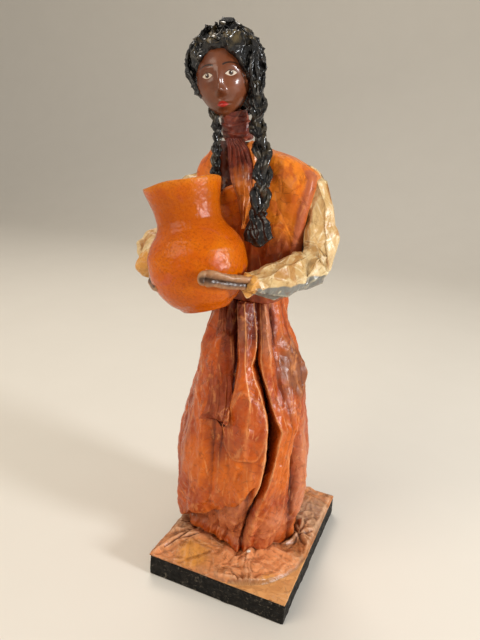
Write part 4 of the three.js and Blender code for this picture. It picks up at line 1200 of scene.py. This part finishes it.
# Raised creases of the cover: start x, y, end x, y, height, width.
WRINKLES = [
    (-41, -50, -22, -14, 3.2, 4.2), (-38, -30, -24, -10, 3.0, 3.4), (9, -25, 16, -50, 2.3, 3),
    (8, -26, 3, -50, 1.2, 3.2), (30, 4, 41, -6, 2.0, 3.5), (30, 22, 41, 30, 1.8, 3.5),
    (-20, 36, -36, 50, 1.8, 4), (12, 36, 26, 51, 1.8, 4), (20, -51, 5, -48.5, 1.5, 1.8),
    (14, -34, 19, -50, 1.2, 1.6), (26, -8, 39, 10, 2.8, 2.4), (29, 12, 39, -6, 2.8, 2.2),
    (27, -1, 40, 3, 2.4, 1.8), (33, 12, 36, 26, 2.2, 2.2), (-34, -22, -28, -30, 2.2, 2.6),
]
# Furrows between the folds, also painted dark as shade: start x, y, end x, y, depth, width.
FURROWS = [
    (32, 0, 38, 7, 1.6, 1.2), (32, 0, 27, 6, 1.6, 1.1), (32, 0, 38, -6, 1.6, 1.1),
    (32, 0, 30, -12, 1.5, 0.9), (32, 0, 33, 12, 1.3, 0.9), (-26, -22, -36, -44, 1.6, 1.0),
    (-23, -27, -31, -35, 1.5, 1.0), (-28, -14, -40, -20, 1.4, 1.0), (9.5, -29, 12.5, -40, 1.2, 0.9),
    (13, -49, 6, -44, 1.2, 0.8),
]
# The cover stops short on a curve at the front corner on the figure's left. The skirt's foot stands on it.
CUT_CORNER = {"centre": (4, -8), "reach": (37, 43), "beyond": (8, -6)}
FOOTPRINT = {"centre": (-7.5, 3.5), "reach": (35.5, 29)}
# Stains of the cover: x, y, radius, strength.
CORAL_STAINS = [(26, -30, 17, 1), (2, -36, 15, 0.7)]
GREY_STAINS = [(-34, -12, 20, 1), (34, 22, 20, 1)]
YELLOW_STAINS = [(-18, -42, 11, 1), (30, -44, 8, 1)]


def fold_height(x, y, lines):
    """Height of straight folds that taper to their far end."""
    total = np.zeros_like(x)
    for ax, ay, bx, by, height, width in lines:
        length = (bx - ax) ** 2 + (by - ay) ** 2
        t = np.clip(((x - ax) * (bx - ax) + (y - ay) * (by - ay)) / length, 0, 1)
        away = np.hypot(x - mix(ax, bx, t), y - mix(ay, by, t)) * (1 + 0.25 * np.sin(9 * t))
        total = np.maximum(total, height * np.clip(1 - away / width, 0, 1) * (1 - 0.5 * t))
    return total


def stains(x, y, rows):
    return sum(strength * bell(np.hypot(x - at_x, y - at_y), reach) for at_x, at_y, reach, strength in rows)


def within(oval, x, y):
    """Distance from the middle of an oval, 1 on its edge."""
    (at_x, at_y), (reach_x, reach_y) = oval["centre"], oval["reach"]
    return np.hypot((x - at_x) / reach_x, (y - at_y) / reach_y)


def sheet_piece(material):
    width, depth = BLOCK["width"] - 0.5, BLOCK["depth"] - 0.5
    across, up = np.meshgrid(np.linspace(0, 1, 155), np.linspace(0, 1, 195))
    x, y = (across - 0.5) * width, (up - 0.5) * depth
    rim = np.minimum(width / 2 - np.abs(x), depth / 2 - np.abs(y))
    # Folds ray out from the foot of the skirt, and small ones run any way.
    turn = np.arctan2(y - FOOTPRINT["centre"][1], x - FOOTPRINT["centre"][0]) / (2 * math.pi)
    beyond_hem = (within(FOOTPRINT, x, y) - 1) * 32
    rays = facet_noise(turn * 30 + 0.3 * np.sin(beyond_hem / 4), beyond_hem / 13 + 20, 94, 30)
    bent_x, bent_y = x + 1.3 * np.sin(0.31 * y), y + 1.3 * np.sin(0.36 * x)
    broad = facet_noise(bent_x / 12 + 20, bent_y / 13 + 20, 95)
    small = facet_noise(bent_x / 4.6 + 30, bent_y / 5 + 30, 96)
    flat = np.stack([x, y, 0 * x], -1)
    folds = crumple(flat, 91, 9, 0.32) + crumple(flat, 92, 3.6, 0.22)
    folds = folds + fold_height(bent_x, bent_y, WRINKLES)
    furrow = fold_height(x, y, FURROWS)
    edge = within(CUT_CORNER, x, y) + 0.012 * facet_noise(x / 4 + 40, y / 4 + 40, 97)
    corner = (x > CUT_CORNER["beyond"][0]) * (y < CUT_CORNER["beyond"][1])
    cut = ease(1.0, 1.012, edge) * corner
    top = 1.1 + 2.1 * ease(20, 1, beyond_hem) * rays + 0.5 * broad + 0.3 * small + folds - furrow
    top = SHEET_TOP + np.maximum(top, -0.5) * ease(0, 2.5, rim)
    top = mix(top, SHEET_FOOT + 0.5 + 0.12 * small, cut)
    front = np.stack([x, y, top], -1)
    ragged = 0.4 * facet_noise((x + y) / 3 + 50, (x - y) / 9 + 50, 98) * (rim < 0.3)
    front[..., 0] += np.sign(x) * ragged
    front[..., 1] += np.sign(y) * ragged
    back = np.stack([x, y, np.full_like(x, SHEET_FOOT)], -1)
    ridge, valley = crease_masks(front, closed=False)
    # Painted shade round the foot of the skirt and in the furrows, and a dark line along the cut edge.
    dark = 0.55 * ease(4.0, 0.5, beyond_hem) + 0.55 * ease(0.3, 1.3, furrow)
    masks = {
        "ridge": ridge * (1 - cut),
        "valley": valley * (1 - cut),
        "deep": dark + 0.6 * bell(edge - 1.008, 0.014) * corner,
        "bare": cut,
        "coral": stains(x, y, CORAL_STAINS),
        "grey": stains(x, y, GREY_STAINS),
        "yellow": stains(x, y, YELLOW_STAINS),
    }
    make_piece("base_cover", [sheet_part(front, back, masks)], "base_sheet", material, "base_paper")


def pin_piece(material):
    side, up, front = ball_directions(48, 32)
    middle = (*PIN["centre"][:2], SHEET_TOP + GAP + PIN["radius"])
    points = np.stack([side, -front, up], -1) * PIN["radius"] + middle
    make_piece("pin_head", [(points, {})], "pin_white", material, "hem_pin")


# ---- materials ----
def dress_material():
    return varnished_paper(
        "varnished_dress_paper", 101, (ORANGE, DEEP_ORANGE, TERRACOTTA), DARK_RED, CORAL, 0.25, 22,
        # The waist shade is painted shade, the fold lips are partly painted highlight, and rose is also
        # painted light under the bag.
        extras=(
            ("dusk", (0.16, 0.024, 0.010), 0.95), ("olive", OLIVE, 0.65), ("yellow", YELLOW_ORANGE, 0.75),
            ("rose", ROSE, 0.7), ("lips", (0.84, 0.40, 0.16), 0.7),
        ),
    )


def strip_material():
    brick = (0.34, 0.062, 0.014), (0.30, 0.045, 0.008), (0.22, 0.035, 0.008)
    return varnished_paper("varnished_strip_paper", 111, brick, BROWN, CORAL, 0.29, 10, extras=())


def tunic_material():
    amber = (0.80, 0.22, 0.012), (0.68, 0.145, 0.006), (0.50, 0.08, 0.006)
    return varnished_paper(
        "varnished_tunic_paper", 121, amber, DARK_RED, CORAL, 0.27, 24, sharp=0.9,
        # The low front is painted shade, and the rolled edge's pinker tone is partly painted sheen.
        extras=(("low", (0.20, 0.022, 0.002), 0.88), ("edge", (0.40, 0.095, 0.04), 0.85)),
    )


def scarf_material():
    maroon = (0.16, 0.036, 0.026), (0.22, 0.035, 0.014), (0.10, 0.022, 0.02)
    return varnished_paper(
        "varnished_scarf_paper", 131, maroon, (0.02, 0.004, 0.004), (0.40, 0.13, 0.075), 0.25, 8,
        extras=(("low", (0.64, 0.18, 0.014), 0.85),),
    )


def sleeve_material():
    cream = (0.64, 0.43, 0.19), (0.54, 0.31, 0.11), (0.76, 0.60, 0.33)
    return varnished_paper(
        "crumpled_cream_paper", 141, cream, (0.20, 0.08, 0.024), (0.86, 0.74, 0.48), 0.19, 20, sharp=0.9,
        extras=(
            # The grey-blue underside is a painted reflection.
            ("tan", (0.44, 0.20, 0.05), 0.85), ("under", (0.15, 0.16, 0.155), 0.92),
            ("cuff", (0.66, 0.30, 0.055), 0.9),
        ),
    )


def cover_material():
    salmon = (0.54, 0.21, 0.07), (0.64, 0.24, 0.085), (0.38, 0.16, 0.06)
    return varnished_paper(
        "varnished_cover_paper", 151, salmon, (0.10, 0.03, 0.010), (0.72, 0.44, 0.26), 0.31, 14,
        extras=(
            ("coral", (0.82, 0.32, 0.125), 0.9), ("grey", (0.44, 0.26, 0.15), 0.7),
            ("yellow", (0.70, 0.30, 0.05), 0.7), ("bare", (0.74, 0.36, 0.13), 0.95),
        ),
    )


def hand_material():
    s = Shader("rolled_hand_paper", Specular_IOR_Level=0.3, Coat_Weight=0.1, Coat_Roughness=0.2)
    groove = (s.mask("groove") + (s.noise(2.2, 4) - 0.5) * 0.7).step(0.2, 0.9)
    edge = s.colour((0.40, 0.19, 0.085), (0.27, 0.11, 0.04), s.noise(3, 4, 0.6, 0.8).step(0.4, 0.62))
    edge = s.colour(edge, (0.48, 0.30, 0.17), s.mask("ridge") * 0.5)
    s.set("Base Color", s.colour(edge, (0.075, 0.038, 0.022), groove))
    s.set("Roughness", groove * -0.12 + 0.42)
    s.relief((s.pits(2.2), 0.2), (s.noise(0.8, 3, 0.6, 0.5), 0.08))
    return s.material


def hair_material():
    s = Shader("black_crumpled_paper", Specular_IOR_Level=0.2, Coat_Weight=0.7, Coat_Roughness=0.11)
    crown = s.mask("crown").clamped()
    # Ridges lighter, grey-blue low down and brownish at the crown: partly wear, partly painted sheen.
    ridge_wear_and_sheen = s.mask("ridge").step(0.5, 1.0) * s.noise(5, 3, 0.6).step(0.50, 0.64)
    black = s.colour((0.005, 0.005, 0.0055), (0.014, 0.013, 0.014), s.noise(3, 4).step(0.42, 0.66))
    shown = s.colour(black, s.colour((0.07, 0.08, 0.095), (0.34, 0.24, 0.11), crown), ridge_wear_and_sheen * 0.6)
    gilt = crown * s.noise(11, 4, 0.65, 1.0).step(0.52, 0.60)
    shown = s.colour(shown, (0.20, 0.14, 0.055), gilt * 0.55)
    # Near black in the valleys: painted shade.
    s.set("Base Color", s.colour(shown, (0.002, 0.002, 0.002), s.mask("valley") * 0.8))
    s.set("Roughness", s.noise(3, 4).step(0.3, 0.7) * 0.25 + 0.2)
    s.relief((s.pits(2.6), 0.3), (s.pits(1.1), 0.1))
    return s.material


# The painted face: places in head widths and heights, sizes in millimetres.
EYE = {"side": 0.21, "half": 2.75, "slant": 0.06, "iris": 1.12, "pupil": 0.57, "glint": 0.28, "liner": 0.24}
BROW = {"side": 0.215, "up": 0.115, "half": 3.7, "thick": 0.42, "bow": 0.07}
LIPS = {"up": -0.35, "half": 3.1, "upper": 1.15, "lower": 1.35, "seam": 0.16}
CHEEK = {"side": 0.27, "up": -0.17, "half": 5, "tall": 4.5}


def skin_material():
    """Glossy brown paint with painted eyes, brows and lips."""
    s = Shader("painted_brown_skin", Specular_IOR_Level=0.25, Coat_Weight=0.6, Coat_Roughness=0.17)
    side, up, front = s.mask("side").size(), s.mask("up"), s.mask("front")
    wide, tall = HEAD["width"], HEAD["height"]
    skin = s.colour((0.12, 0.030, 0.009), (0.17, 0.047, 0.015), s.noise(9, 3).step(0.35, 0.65))
    blush = ((side - CHEEK["side"] * wide).size() / CHEEK["half"]).step(1, 0)
    blush = blush * ((up - CHEEK["up"] * tall).size() / CHEEK["tall"]).step(1, 0)
    skin = s.colour(skin, (0.20, 0.055, 0.022), blush * 0.7)
    eye_side = side - EYE["side"] * wide
    eye_up = up - eye_side * EYE["slant"]

    def disc(at_side, at_up, radius):
        """How far inside a disc of the eye a place is."""
        across, along = eye_side - at_side, eye_up - at_up
        return radius - (across * across + along * along) ** 0.5

    bow = 1 - (eye_side / EYE["half"]) ** 2
    almond = bow * 1.25 - eye_up.size()
    eye = s.colour((0.62, 0.52, 0.42), (0.075, 0.028, 0.012), disc(0, 0.12, EYE["iris"]).step(0, 0.12))
    eye = s.colour(eye, (0.006, 0.005, 0.005), disc(0, 0.12, EYE["pupil"]).step(0, 0.12))
    eye = s.colour(eye, (0.8, 0.76, 0.7), disc(0.35, 0.5, EYE["glint"]).step(0, 0.08))
    skin = s.colour(skin, eye, almond.step(0, 0.12) * front)
    lid = (bow.most(0) * 1.35 - eye_up).size()
    liner = (1 - lid / EYE["liner"]).clamped() * (1 - (eye_side / 3.0).size()).step(0, 0.05)
    skin = s.colour(skin, (0.008, 0.005, 0.004), liner * front)
    brow_side = side - BROW["side"] * wide
    arch = up - BROW["up"] * tall + brow_side * brow_side * BROW["bow"] - 0.5
    brow = (1 - arch.size() / (BROW["thick"] - brow_side * 0.05)).step(0, 0.35)
    brow = brow * (1 - (brow_side / BROW["half"]).size()).step(0, 0.06)
    skin = s.colour(skin, (0.014, 0.008, 0.006), brow * front * 0.9)
    lip_up = up - LIPS["up"] * tall
    half = side / LIPS["half"]
    ends = 1 - half
    full = 1 - half * half
    upper = full * LIPS["upper"] - (side - 0.75).size() * 0.12 - lip_up
    lower = lip_up + full * LIPS["lower"]
    lips = upper.step(0, 0.15) * lower.step(0, 0.15) * ends.step(0, 0.05)
    seam = (1 - (lip_up - 0.05).size() / LIPS["seam"]).clamped() * ends.step(0, 0.2)
    red = s.colour((0.42, 0.018, 0.010), (0.12, 0.006, 0.006), seam * 0.85)
    s.set("Base Color", s.colour(skin, red, lips * front))
    s.set("Roughness", s.noise(6).step(0.3, 0.7) * 0.12 + 0.4)
    s.relief((s.noise(5, 3), 0.18), (s.noise(1.2, 2), 0.03))
    return s.material


def pot_material():
    s = Shader("varnished_clay", Specular_IOR_Level=0.22)
    rise = s.mask("rise")
    body = s.colour((0.54, 0.095, 0.0), (0.62, 0.140, 0.0), s.noise(15, 4, 0.6, 0.6).step(0.38, 0.64))
    body = s.colour(body, (0.50, 0.075, 0.004), s.noise(10, 5, 0.65, 1.0).step(0.54, 0.70) * 0.6)
    body = s.colour(body, (0.50, 0.09, 0.05), s.noise(13, 3, 0.6, 0.8).step(0.60, 0.68) * 0.45)
    body = s.colour(body, (0.62, 0.22, 0.02), rise.step(0.94, 1.0) * 0.6)
    body = s.colour(body, (0.44, 0.075, 0.0), rise.step(0.25, 0.0) * 0.7)
    neck = rise.step(0.60, 0.70) * rise.step(0.97, 0.86)
    body = s.colour(body, (0.36, 0.068, 0.002), neck * 0.6)
    grain = s.noise(1.1, 4, 0.75)
    body = s.colour(body, (0.33, 0.05, 0.0), grain.step(0.50, 0.62) * 0.6)
    s.set("Base Color", s.colour(body, (0.24, 0.05, 0.006), s.mask("inside").clamped() * 0.8))
    s.set("Roughness", s.noise(6, 4).step(0.3, 0.7) * 0.06 + 0.09)
    s.relief((s.noise(8, 3), 0.2), (s.noise(1.9, 2, 0.5), 0.5), (grain, 0.1))
    return s.material


def block_material():
    s = Shader("rough_black_paint", Specular_IOR_Level=0.14)
    paint = s.colour((0.004, 0.0035, 0.003), (0.012, 0.010, 0.008), s.noise(4, 4).step(0.4, 0.65))
    chips = s.noise(3.2, 6, 0.78, 1.4).step(0.565, 0.62) * (s.mask("edge") * 0.6 + 0.45).clamped()
    s.set("Base Color", s.colour(paint, (0.26, 0.22, 0.17), chips * 0.75))
    s.set("Roughness", s.noise(3).step(0.3, 0.7) * 0.25 + 0.42)
    s.relief((s.pits(3.5), 0.4), (s.noise(0.9, 4, 0.7), 0.3))
    return s.material


def pin_material():
    s = Shader("white_pin_head", Coat_Weight=0.5, Coat_Roughness=0.08)
    s.set("Base Color", s.colour((0.82, 0.76, 0.66), (0.7, 0.6, 0.48), s.noise(1.2).step(0.4, 0.7)))
    s.set("Roughness", s.noise(1.5) * 0.15 + 0.15)
    return s.material


# ---- camera, floor and lights ----
# The camera, in the part's frame and millimetres.
CAMERA = {
    "place": (96.65, -269.26, 240.87), "lens": 30.3,
    "right": (0.91622, 0.39710, 0.05344), "down": (0.16924, -0.26265, -0.94993),
}
# Lights, in metres: name, place, aim, size, power, colour.
LIGHTS = [
    ("key", (-0.50, -0.85, 0.75), (0, 0, 0.15), 0.9, 7.0, (1.0, 0.90, 0.76)),
    ("window", (0.95, -0.10, 0.40), (0, 0, 0.16), 0.22, 8.5, (0.94, 0.97, 1.0)),
    ("top", (-0.35, 0.45, 1.0), (0, 0, 0.15), 0.5, 4.0, (1.0, 0.93, 0.84)),
]
# Floor, in metres: half width, how far back it is flat, radius of the curve up, height of the backdrop.
STUDIO = {"half": 2.4, "flat": 0.9, "curve": 0.7, "curve_steps": 12, "top": 3.0}
AMBIENT = {"Color": (1.0, 0.94, 0.86, 1), "Strength": 0.42}


def add_camera():
    data = bpy.data.cameras.new("camera")
    data.lens = CAMERA["lens"]
    data.sensor_width = 36
    data.clip_start = 0.01
    made = add_object("camera", data)
    right = Vector(CAMERA["right"]).normalized()
    up = -Vector(CAMERA["down"]).normalized()
    back = right.cross(up)
    turn = Matrix((right, up, back)).transposed().to_4x4()
    made.matrix_world = Matrix.Translation(Vector(CAMERA["place"]) * MM) @ turn
    bpy.context.scene.camera = made


def add_light(name, place, aim, size, power, colour):
    data = bpy.data.lights.new(name, "AREA")
    data.shape = "DISK"
    data.size = size
    data.energy = power
    data.color = colour
    made = add_object(name, data)
    made.location = place
    made.rotation_euler = (Vector(aim) - Vector(place)).to_track_quat("-Z", "Y").to_euler()


def add_studio():
    """A pale floor that curves up into a backdrop, soft light all round, a warm key and a cool window."""
    half, flat, curve, steps = STUDIO["half"], STUDIO["flat"], STUDIO["curve"], STUDIO["curve_steps"]
    profile = [(-half, 0.0), (flat, 0.0)]
    for step in range(1, steps + 1):
        swing = math.pi / 2 * step / steps
        profile.append((flat + curve * math.sin(swing), curve * (1 - math.cos(swing))))
    profile.append((flat + curve, STUDIO["top"]))
    corners = [(x, y, z) for y, z in profile for x in (-half, half)]
    faces = [(2 * k, 2 * k + 1, 2 * k + 3, 2 * k + 2) for k in range(len(profile) - 1)]
    floor = bpy.data.meshes.new("floor")
    floor.from_pydata(corners, [], faces)
    floor.polygons.foreach_set("use_smooth", np.ones(len(faces), bool))
    pale = Shader("pale_floor", Roughness=0.75)
    pale.set("Base Color", pale.colour((0.72, 0.68, 0.61), (0.75, 0.71, 0.64), pale.noise(60, 3)))
    floor.materials.append(pale.material)
    add_object("floor", floor)
    world = bpy.data.worlds.new("studio")
    world.use_nodes = True
    for socket, value in AMBIENT.items():
        world.node_tree.nodes["Background"].inputs[socket].default_value = value
    bpy.context.scene.world = world
    for light in LIGHTS:
        add_light(*light)
    bpy.context.scene.view_settings.view_transform = "Standard"


# ---- the figure ----
add_camera()
add_studio()
dress = dress_material()
cream = sleeve_material()
hand_look = hand_material()
black_paper = hair_material()
block_piece(block_material())
sheet_piece(cover_material())
skirt_piece(dress)
strip_piece(strip_material())
bodice_piece(tunic_material())
make_piece("neck_scarf_wrap", [scarf_ring(), scarf_ends()], "scarf_paper", scarf_material(), "neck_scarf")
sleeve_piece("left_paper_sleeve", LEFT_ARM, 61, cream, "left_sleeve")
sleeve_piece("right_paper_sleeve", RIGHT_ARM, 65, cream, "right_sleeve")
hand_piece("left_rolled_hand", LEFT_HAND, 71, hand_look, "left_hand")
hand_piece("right_rolled_hand", RIGHT_HAND, 72, hand_look, "right_hand")
head_piece(skin_material())
hair_piece(black_paper)
braid_piece("left_plait", LEFT_BRAID, 2.4, 54, black_paper, "left_braid", 0.2)
braid_piece("right_plait", RIGHT_BRAID, 3.2, 57, black_paper, "right_braid", 0.12)
pot_piece(pot_material())
pin_piece(pin_material())
